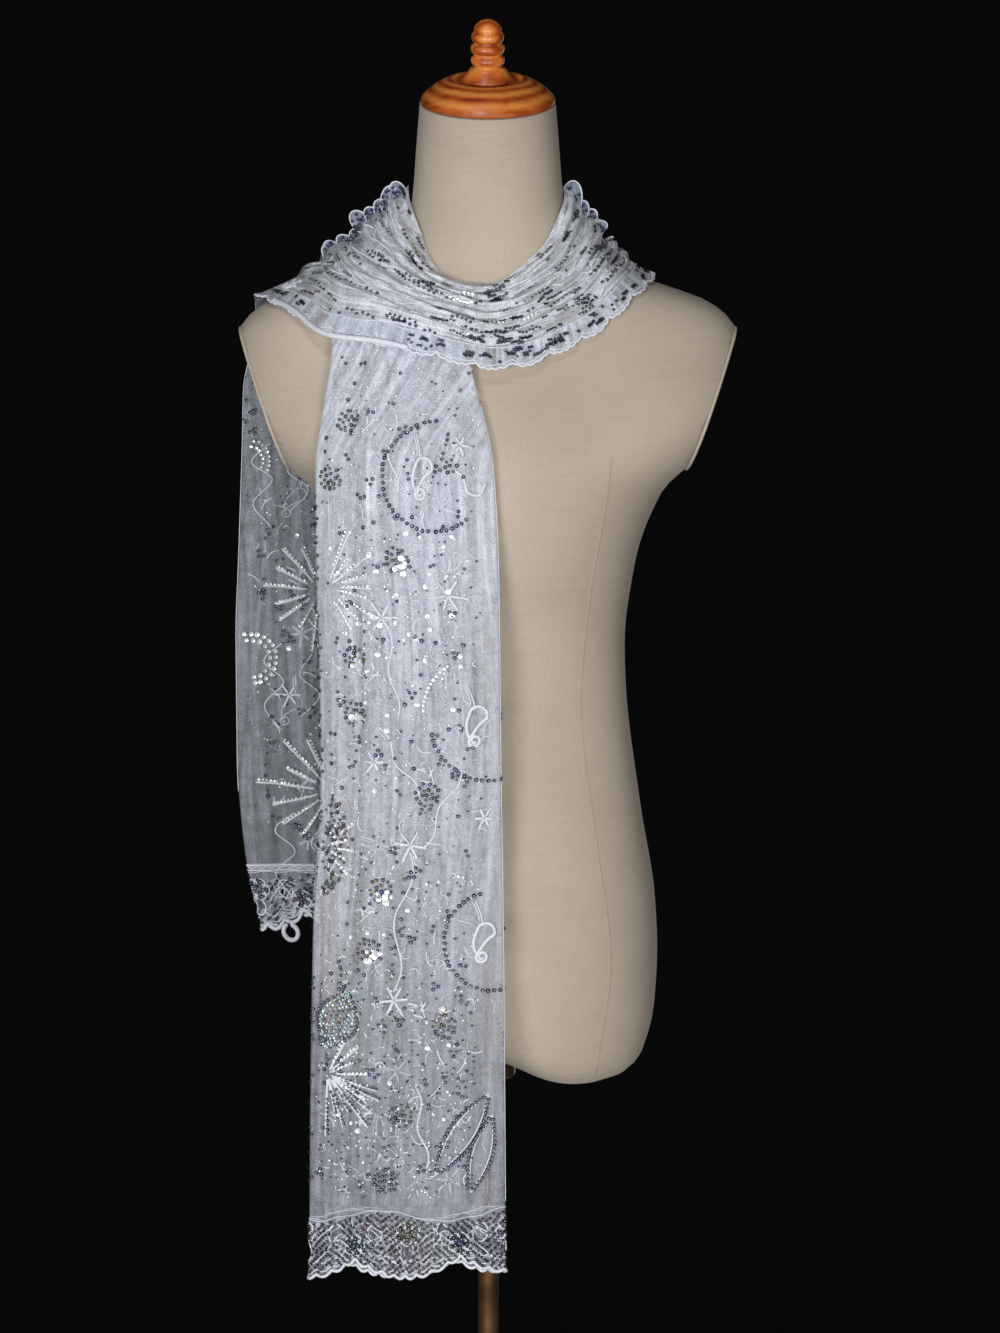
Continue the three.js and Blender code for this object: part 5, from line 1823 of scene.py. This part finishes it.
def ruffle(name, cloth, t, columns, loops, seed):
    """Lace along the crest of a shoulder: a frill that lies back from the neck, with loops that stand up."""
    row = int(round(float(cloth.row(t))))
    column = np.linspace(*columns, 140)
    lengths = np.interp(column, np.arange(cloth.lengths.shape[1]), cloth.lengths[row])
    along = np.abs(lengths - lengths[0])
    base, normals = cloth.at(np.full(len(column), t), column)
    back = unit(RUFFLE["stand"] * normals + np.array((0, 1, 0)))
    fade = np.sqrt(np.sin(np.pi * np.linspace(0.25, 0.97, len(column))))
    top = RUFFLE["height"] * fade * (1 + 0.2 * np.sin(along / 7 + seed))
    wave = RUFFLE["wave"] * (np.sin(along / 3.1) + 0.5 * np.sin(along / 5.3 + 1))
    share = np.linspace(0, 1, RUFFLE["rows"] + 1)[:, None, None]
    points = base + share * (top[:, None] * back + wave[:, None] * normals)
    uv = np.stack([np.broadcast_to(along, points.shape[:2]), share[..., 0] * top], -1)
    mesh = cloth_mesh(name, points, uv, 1 - (1 - LACE_COVER) ** 2)
    ground = place_piece(name, mesh, (LACE_NET,))
    work = Needlework(cloth, seed)
    work.cord(points[-1], normals, 0.7, 0.7)
    for loop in rows_of(loops):
        place = loop["place"] + loop["width"] / 2
        ruffle_loop(work, np.array([np.interp(place, along, axis) for axis in base.T]), loop)
    return ground, work.finish(f"{name}_needlework", "lace")


def ruffle_loop(work, foot, loop):
    """One corded loop that stands upright, with finer ones inside it and dark sequins between them."""
    def places(scale, turn):
        up = loop["height"] * scale * (0.5 + 0.5 * np.sin(turn)) - loop["sink"]
        aside = 0.5 * loop["width"] * scale * np.cos(turn) + loop["lean"] * up
        return foot + np.stack([aside, -2.5 - 0.6 * np.maximum(0, -up), up], -1)
    turn = np.linspace(-90, 270, 33) * np.pi / 180
    facing = np.broadcast_to(LOOP_FACING, (len(turn), 3))
    for scale, half in LOOP_CORDS:
        work.cord(places(scale, turn), facing, half, half)
    rim = places(0.97, turn) - 0.5 * LOOP_FACING
    fan = [[0, k, k + 1] for k in range(1, len(rim))]
    work.joined.add(np.vstack([rim.mean(0), rim]), np.array(fan), LOOP_FINISH)
    for scale in (0.82, 0.6, 0.4):
        points = places(scale, work.random.uniform(-0.8, 3.9, 9)) + LOOP_FACING
        work.discs(points, facing[:len(points)], 1.4, stitched=False)


# Dress form

def arch_lift(x, height):
    """How far the arch of the underside lifts the body at a place."""
    arch = ARCH_RISE * np.maximum(0, 1 - (height - FORM_LOWEST) / ARCH_FADE)
    return arch * np.exp(-((x / ARCH_HALF_WIDTH) ** 2))


def form_ring(height, angle):
    row = form_section(height)

    def rounded(value):
        return np.sign(value) * np.abs(value) ** (2 / row["roundness"])
    x = row["half_width"] * rounded(np.cos(angle))
    y = row["middle"] + row["half_depth"] * rounded(np.sin(angle))
    tilt = math.tan(math.radians(NECK_TOP["tilt"])) * smoothstep(height, NECK_TOP["tilt_from"], NECK_TOP["z"])
    return np.stack([x, y, height + arch_lift(x, height) + (y - row["middle"]) * tilt], -1)


def body_rings():
    heights = FORM_SECTIONS["height"]
    counts = np.maximum(1, np.round(np.diff(heights) / RING_STEP)).astype(int)
    angle = 2 * np.pi * np.arange(FORM_SIDES) / FORM_SIDES
    rings = [form_ring(np.full(FORM_SIDES, level), angle) for level in stepped(heights, counts)]
    lowest = rings[0]
    middle = np.array([0, form_section(np.array([float(FORM_LOWEST)]))["middle"][0]])
    for share in UNDERSIDE_RINGS:
        ring = lowest.copy()
        ring[:, :2] = middle + (lowest[:, :2] - middle) * share
        ring[:, 2] = FORM_LOWEST + arch_lift(ring[:, 0], FORM_LOWEST)
        rings.insert(0, ring)
    return rings


def loft(rings):
    """A closed skin through rings, with its two ends filled."""
    sides = len(rings[0])
    points = np.concatenate(rings)
    i, k = np.meshgrid(np.arange(len(rings) - 1), np.arange(sides), indexing="ij")
    a = (i * sides + k).ravel()
    b = (i * sides + (k + 1) % sides).ravel()
    faces = np.stack([a, b, b + sides, a + sides], 1).tolist()
    last = (len(rings) - 1) * sides
    faces.append(list(range(sides))[::-1])
    faces.append(list(range(last, last + sides)))
    return points, faces


def arm_plane(side):
    lean = math.radians(ARM_PLATE["lean"])
    centre = Vector((side * ARM_PLATE["middle_x"], 0, ARM_PLATE["middle_z"])) * MM
    return centre, Vector((side * math.cos(lean), 0, -math.sin(lean)))


def cut_arm(body, side):
    """Cuts one arm off flat, fills the cut and gives its rim in order."""
    centre, normal = arm_plane(side)

    def is_in_arm(face):
        place = face.calc_center_median() / MM
        return place.z > ARM_PLATE["lowest"] and side * place.x > ARM_PLATE["inmost"]
    faces = [face for face in body.faces if is_in_arm(face)]
    edges = dict.fromkeys(e for f in faces for e in f.edges)
    verts = dict.fromkeys(v for f in faces for v in f.verts)
    geometry = [*verts, *edges, *faces]
    cut = bmesh.ops.bisect_plane(
        body, geom=geometry, dist=1e-6, plane_co=centre, plane_no=normal, clear_outer=True,
    )
    rim = [e for e in cut["geom_cut"] if isinstance(e, bmesh.types.BMEdge)]
    cap = bmesh.ops.holes_fill(body, edges=rim, sides=0)["faces"][0]
    return np.array([v.co for v in cap.verts]) / MM


def arm_plate(name, rim, side):
    """A thin plate with a rounded edge over the cut."""
    normal = np.array(arm_plane(side)[1])
    middle = rim.mean(axis=0)
    outlines = [(1.0, SEAM), (1.0, 1.6), (0.992, 2.4), (0.97, SEAM + ARM_PLATE["thickness"]), (0.5, 3.3)]
    rings = [middle + (rim - middle) * share + normal * out for share, out in outlines]
    mesh = new_mesh(f"{name}_cover", *loft(rings))
    fix_normals(mesh)
    place_piece(f"{name}_cover", mesh, (LINEN,), (name,))


def fix_normals(mesh):
    work = bmesh.new()
    work.from_mesh(mesh)
    bmesh.ops.recalc_face_normals(work, faces=work.faces)
    work.to_mesh(mesh)
    work.free()


def body_pieces():
    mesh = new_mesh("torso_cover", *loft(body_rings()))
    body = bmesh.new()
    body.from_mesh(mesh)
    rims = {side: cut_arm(body, side) for side in (-1, 1)}
    bmesh.ops.recalc_face_normals(body, faces=body.faces)
    body.to_mesh(mesh)
    body.free()
    place_piece("torso_cover", mesh, (LINEN,), ("torso",))
    mesh.set_sharp_from_angle(angle=math.radians(50))
    arm_plate("arm_plate_left", rims[-1], -1)
    arm_plate("arm_plate_right", rims[1], 1)


# Seams of the cover, from the bust or shoulder blade to the underside: height and place to one side.
SEAM_LINE = table("height aside", [
    [706, 84],
    [805, 96],
    [905, 84],
    [1010, 72],
    [1090, 78],
    [1180, 92],
    [1205, 95],
])


def cover_seams():
    """Raised seams down the front and back, and one down the middle of the back, in darker linen: painted
    shade of seam grooves.
    """
    joined = Joined()
    heights = np.linspace(SEAM_LINE["height"][0], SEAM_LINE["height"][-1], 160)
    row = form_section(heights)
    aside = curve_through(SEAM_LINE["height"], SEAM_LINE["aside"], heights)
    for front, place in ((1, aside), (1, -aside), (-1, aside), (-1, -aside), (-1, np.zeros_like(aside))):
        left = np.maximum(0, 1 - np.abs(place / row["half_width"]) ** row["roundness"])
        y = row["middle"] - front * row["half_depth"] * left ** (1 / row["roundness"])
        line = np.stack([place, y, heights + arch_lift(place, heights)], -1)
        out = np.tile(np.array([0.0, -front, 0.0]), (len(line), 1))
        add_welt(joined, line, out)
    place_piece("cover_seams", joined.mesh("cover_seams"), (LINEN_PAINTED_SEAM_SHADE,))


WELT = {"half_width": 1.2, "height": 0.12}


def add_welt(joined, line, out):
    """A low rounded ridge along a line on the cover."""
    tangent = unit(np.gradient(line, axis=0))
    side = unit(np.cross(tangent, out))
    up = np.cross(side, tangent)
    profile = [(-1.0, -0.5), (-0.55, 0.75), (0.55, 0.75), (1.0, -0.5)]
    rings = [line + side * a * WELT["half_width"] + up * b * WELT["height"] for a, b in profile]
    points = np.stack(rings, 1).reshape(-1, 3)
    joined.add(points, grid_faces(len(line), len(profile)))


def turned(profile):
    """Points and faces of a turned piece, from its profile of radius and height."""
    radius, height = np.array(profile, float).T
    gaps = np.hypot(np.diff(radius), np.diff(height))
    keys = np.concatenate([[0], np.cumsum(np.maximum(gaps, 1e-6))])
    fine = stepped(keys, [PROFILE_STEPS] * len(gaps))
    radius = np.maximum(0.01, curve_through(keys, radius, fine))
    height = curve_through(keys, height, fine)
    angle = 2 * np.pi * np.arange(TURNED_SIDES) / TURNED_SIDES
    around = np.stack([np.cos(angle), np.sin(angle), np.zeros(TURNED_SIDES)], -1)
    return loft([r * around + np.array((0, 0, z)) for r, z in zip(radius, height)])


def turned_piece(name, profile, material, tilted=False):
    points, faces = turned(profile)
    if tilted:
        tilt = math.radians(NECK_TOP["tilt"])
        y = points[:, 1] * math.cos(tilt) - points[:, 2] * math.sin(tilt)
        z = points[:, 1] * math.sin(tilt) + points[:, 2] * math.cos(tilt)
        points = np.stack([points[:, 0], y + NECK_TOP["y"], z + NECK_TOP["z"]], -1)
    mesh = new_mesh(f"{name}_finish", points, faces)
    fix_normals(mesh)
    place_piece(f"{name}_finish", mesh, (material,), (name,))
    mesh.set_sharp_from_angle(angle=math.radians(40))


CAP_PROFILE = [
    (0, SEAM), (CAP["radius"] - 2, SEAM), (CAP["radius"] - 0.4, 1), (CAP["radius"], 2), (CAP["radius"], 3.2),
    (51.6, 4.6), (50, 6.4), (45, 11), (38, 15.6), (31, CAP["ring"] - 0.3), (28.6, CAP["ring"]),
    (27, CAP["ring"] - 0.4), (26, CAP["middle"] + 0.3), (25, CAP["middle"]), (0, CAP["middle"]),
]
FINIAL_FOOT = CAP["middle"] + SEAM
FINIAL_BEADS = table("height radius half", [
    [34, 13.2, 3.6],
    [43, 13.2, 3.6],
    [52, 12.6, 3.8],
])


def finial_profile():
    profile = [
        (0, FINIAL_FOOT), (18.5, FINIAL_FOOT), (19, 18.2), (18.9, 19.2), (18, 20.6), (15.8, 24), (13.8, 27.5),
        (12, 29),
    ]
    for bead in rows_of(FINIAL_BEADS):
        for angle in np.radians(np.linspace(-80, 80, 9)):
            out = 2.4 * (math.cos(angle) - 1)
            profile.append((bead["radius"] + out, bead["height"] + bead["half"] * math.sin(angle)))
    return [*profile, (10.5, 58.5), (8, 62.5), (4.5, 65), (0, 66)]


SOCKET_PROFILE = [
    (0, SOCKET["bottom"]), (18, SOCKET["bottom"]), (SOCKET["radius"], SOCKET["bottom"] + 3),
    (SOCKET["radius"], SOCKET["top"]), (0, SOCKET["top"]),
]
POLE_PROFILE = [
    (0, BASE["boss_height"] + SEAM), (POLE_RADIUS, BASE["boss_height"] + SEAM),
    (POLE_RADIUS, SOCKET["bottom"] - SEAM), (0, SOCKET["bottom"] - SEAM),
]
BASE_PROFILE = [
    (0, 0), (BASE["radius"] - 3, 0), (BASE["radius"], 3), (BASE["radius"], BASE["thickness"] - 5),
    (BASE["radius"] - 5, BASE["thickness"]), (BASE["boss_radius"] + 14, BASE["thickness"] + 3),
    (BASE["boss_radius"], BASE["thickness"] + 9), (BASE["boss_radius"] - 7, BASE["boss_height"] - 3),
    (BASE["boss_radius"] - 9, BASE["boss_height"]), (0, BASE["boss_height"]),
]


def build_form():
    body_pieces()
    cover_seams()
    turned_piece("neck_cap", CAP_PROFILE, WOOD, tilted=True)
    turned_piece("finial", finial_profile(), WOOD, tilted=True)
    turned_piece("pole_socket", SOCKET_PROFILE, BRONZE)
    turned_piece("pole", POLE_PROFILE, BRONZE)
    turned_piece("base", BASE_PROFILE, BRONZE)


# What shows of each sheet as cut, in metres: width and length.
SHEET_SIZES = {
    "front_tail_net": (0.43, 0.80),
    "nape_net": (0.08, 0.36),
    "band_net": (0.11, 0.40),
    "back_tail_net": (0.36, 0.60),
    "front_hem": (0.44, 0.055),
    "back_hem": (0.36, 0.055),
    "front_tail_edge": (0.018, 0.62),
    "nape_edge_lower": (0.018, 0.38),
    "nape_edge_upper": (0.018, 0.20),
    "band_edge": (0.018, 0.42),
    "back_tail_edge": (0.018, 0.45),
    "ruffle_left": (0.01, 0.1),
    "ruffle_right": (0.01, 0.068),
}


def net_pieces():
    """The net of each stretch with the needlework on it."""
    front = net_piece("front_tail_net", front_cloth, (1, -1), "front_tail")
    nape = net_piece("nape_net", nape_cloth, (1, -2), "nape_wrap", GATHERED_NET)
    band = net_piece("band_net", band_cloth, (1, -1), "neck_band", GATHERED_NET)
    back = net_piece("back_tail_net", back_cloth, (0, -2), "back_tail")
    front_work = work_front_tail()
    back_work = work_back_tail()
    band_work = work_neck("band_needlework", band_cloth, band_cloth.panel(1, -1), 37, BAND_ZONES)
    nape_work = work_neck("nape_needlework", nape_cloth, nape_cloth.panel(1, -2), 41, NAPE_ZONES)
    return [(front, front_work), (nape, nape_work), (band, band_work), (back, back_work)]


def lace_pieces():
    """The lace of the hems, the long edges and the shoulders with the needlework on it."""
    left_columns = (back_cloth.marks[4] - 2, back_cloth.marks[2] + 32)
    right_columns = (nape_cloth.marks[-1] - 1, nape_cloth.marks[1] + 14)
    return [
        hem_pieces("front_hem", Hem(front_cloth, FRONT_SEAM, -1, HEM_STYLES["front"]), 53),
        hem_pieces("back_hem", Hem(back_cloth, BACK_SEAM, 1, HEM_STYLES["back"]), 59),
        edge_pieces("front_tail_edge", Edge(front_cloth, "outer", FRONT_SEAM, 0.8, 0.6, cord=0.2), 61),
        edge_pieces("nape_edge_lower", Edge(nape_cloth, "outer", 0, 1, 3), 67),
        edge_pieces("nape_edge_upper", Edge(nape_cloth, "inner", 0, 1, 3), 71),
        edge_pieces("band_edge", Edge(band_cloth, "outer", 0, 1, 4.5, bare=(0.6, 0.84)), 73),
        edge_pieces("back_tail_edge", Edge(back_cloth, "inner", 0.22, BACK_SEAM, 1.2), 79),
        ruffle("ruffle_left", back_cloth, 0.02, left_columns, LEFT_LOOPS, 83),
        ruffle("ruffle_right", nape_cloth, 0.97, right_columns, RIGHT_LOOPS, 89),
    ]


def build_stole():
    for piece, work in [*net_pieces(), *lace_pieces()]:
        width, length = SHEET_SIZES[piece.name]


# Stage

CAMERA_TARGET = Vector((9.6, 0, 1030)) * MM
CAMERA_DISTANCE = 2.8
CAMERA_PITCH = 8
PHOTO_HEIGHT = 1333
FOCAL_PIXELS = 3500
SENSOR = 36
FLOOR_RADIUS = 1.25
FLOOR_SIDES = 96
FLOOR_DROP = 0.0005
FLOOR_COLOUR = (0.62, 0.61, 0.6)
BACKDROP_COLOUR = (0.0026, 0.0026, 0.0026, 1)
# Lights, in metres: place, size, power, colour and the height on the part's axis that they point at.
LIGHTS = {
    "key": {"place": (-0.95, -2.7, 1.05), "size": 1.1, "power": 41, "colour": (1, 1, 1), "aim": 1.05},
    "fill": {"place": (0.75, -2.7, 1.05), "size": 1.1, "power": 30, "colour": (1.0, 0.98, 0.95), "aim": 1.05},
    "top": {"place": (-0.35, -1.3, 2.9), "size": 0.5, "power": 7, "colour": (1, 1, 1), "aim": 1.5},
    "rim": {"place": (0.6, 2.6, 0.8), "size": 2.2, "power": 9, "colour": (0.92, 0.95, 1.0), "aim": 1.05},
}


def add_camera():
    data = bpy.data.cameras.new("camera")
    data.sensor_fit = "VERTICAL"
    data.sensor_height = SENSOR
    data.lens = FOCAL_PIXELS * SENSOR / PHOTO_HEIGHT
    camera = bpy.data.objects.new("camera", data)
    pitch = math.radians(CAMERA_PITCH)
    camera.location = CAMERA_TARGET - CAMERA_DISTANCE * Vector((0, math.cos(pitch), -math.sin(pitch)))
    camera.rotation_euler = (math.radians(90 - CAMERA_PITCH), 0, 0)
    bpy.context.scene.collection.objects.link(camera)
    bpy.context.scene.camera = camera


def add_light(name, place, size, power, colour, aim):
    data = bpy.data.lights.new(name, "AREA")
    data.shape = "DISK"
    data.size = size
    data.energy = power
    data.color = colour
    light = bpy.data.objects.new(name, data)
    light.location = place
    light.rotation_euler = (Vector((0, 0, aim)) - Vector(place)).to_track_quat("-Z", "Y").to_euler()
    bpy.context.scene.collection.objects.link(light)


def add_floor():
    angle = 2 * np.pi * np.arange(FLOOR_SIDES) / FLOOR_SIDES
    drop = np.full(FLOOR_SIDES, -FLOOR_DROP)
    ring = np.stack([FLOOR_RADIUS * np.cos(angle), FLOOR_RADIUS * np.sin(angle), drop], -1)
    mesh = bpy.data.meshes.new("floor")
    mesh.from_pydata(ring.tolist(), [], [list(range(FLOOR_SIDES))])
    material, tree, principled = shader("floor", Roughness=0.8)
    clouds = noise(tree, coordinates(tree, "Object"), 3.0)
    tint = ramp(tree, clouds, [(0.3, dimmed(FLOOR_COLOUR, 0.96)), (0.7, FLOOR_COLOUR)])
    tree.links.new(tint, principled.inputs["Base Color"])
    mesh.materials.append(material)
    floor = bpy.data.objects.new("floor", mesh)
    bpy.context.scene.collection.objects.link(floor)


def set_world():
    world = bpy.data.worlds.new("studio")
    world.use_nodes = True
    background = world.node_tree.nodes["Background"]
    background.inputs["Color"].default_value = BACKDROP_COLOUR
    background.inputs["Strength"].default_value = 1.0
    bpy.context.scene.world = world


def set_stage():
    add_camera()
    for name, light in LIGHTS.items():
        add_light(name, **light)
    add_floor()
    set_world()
    scene = bpy.context.scene
    scene.view_settings.view_transform = "Standard"
    scene.cycles.transparent_max_bounces = 24


build_form()
build_stole()
set_stage()
bpy.context.view_layer.update()
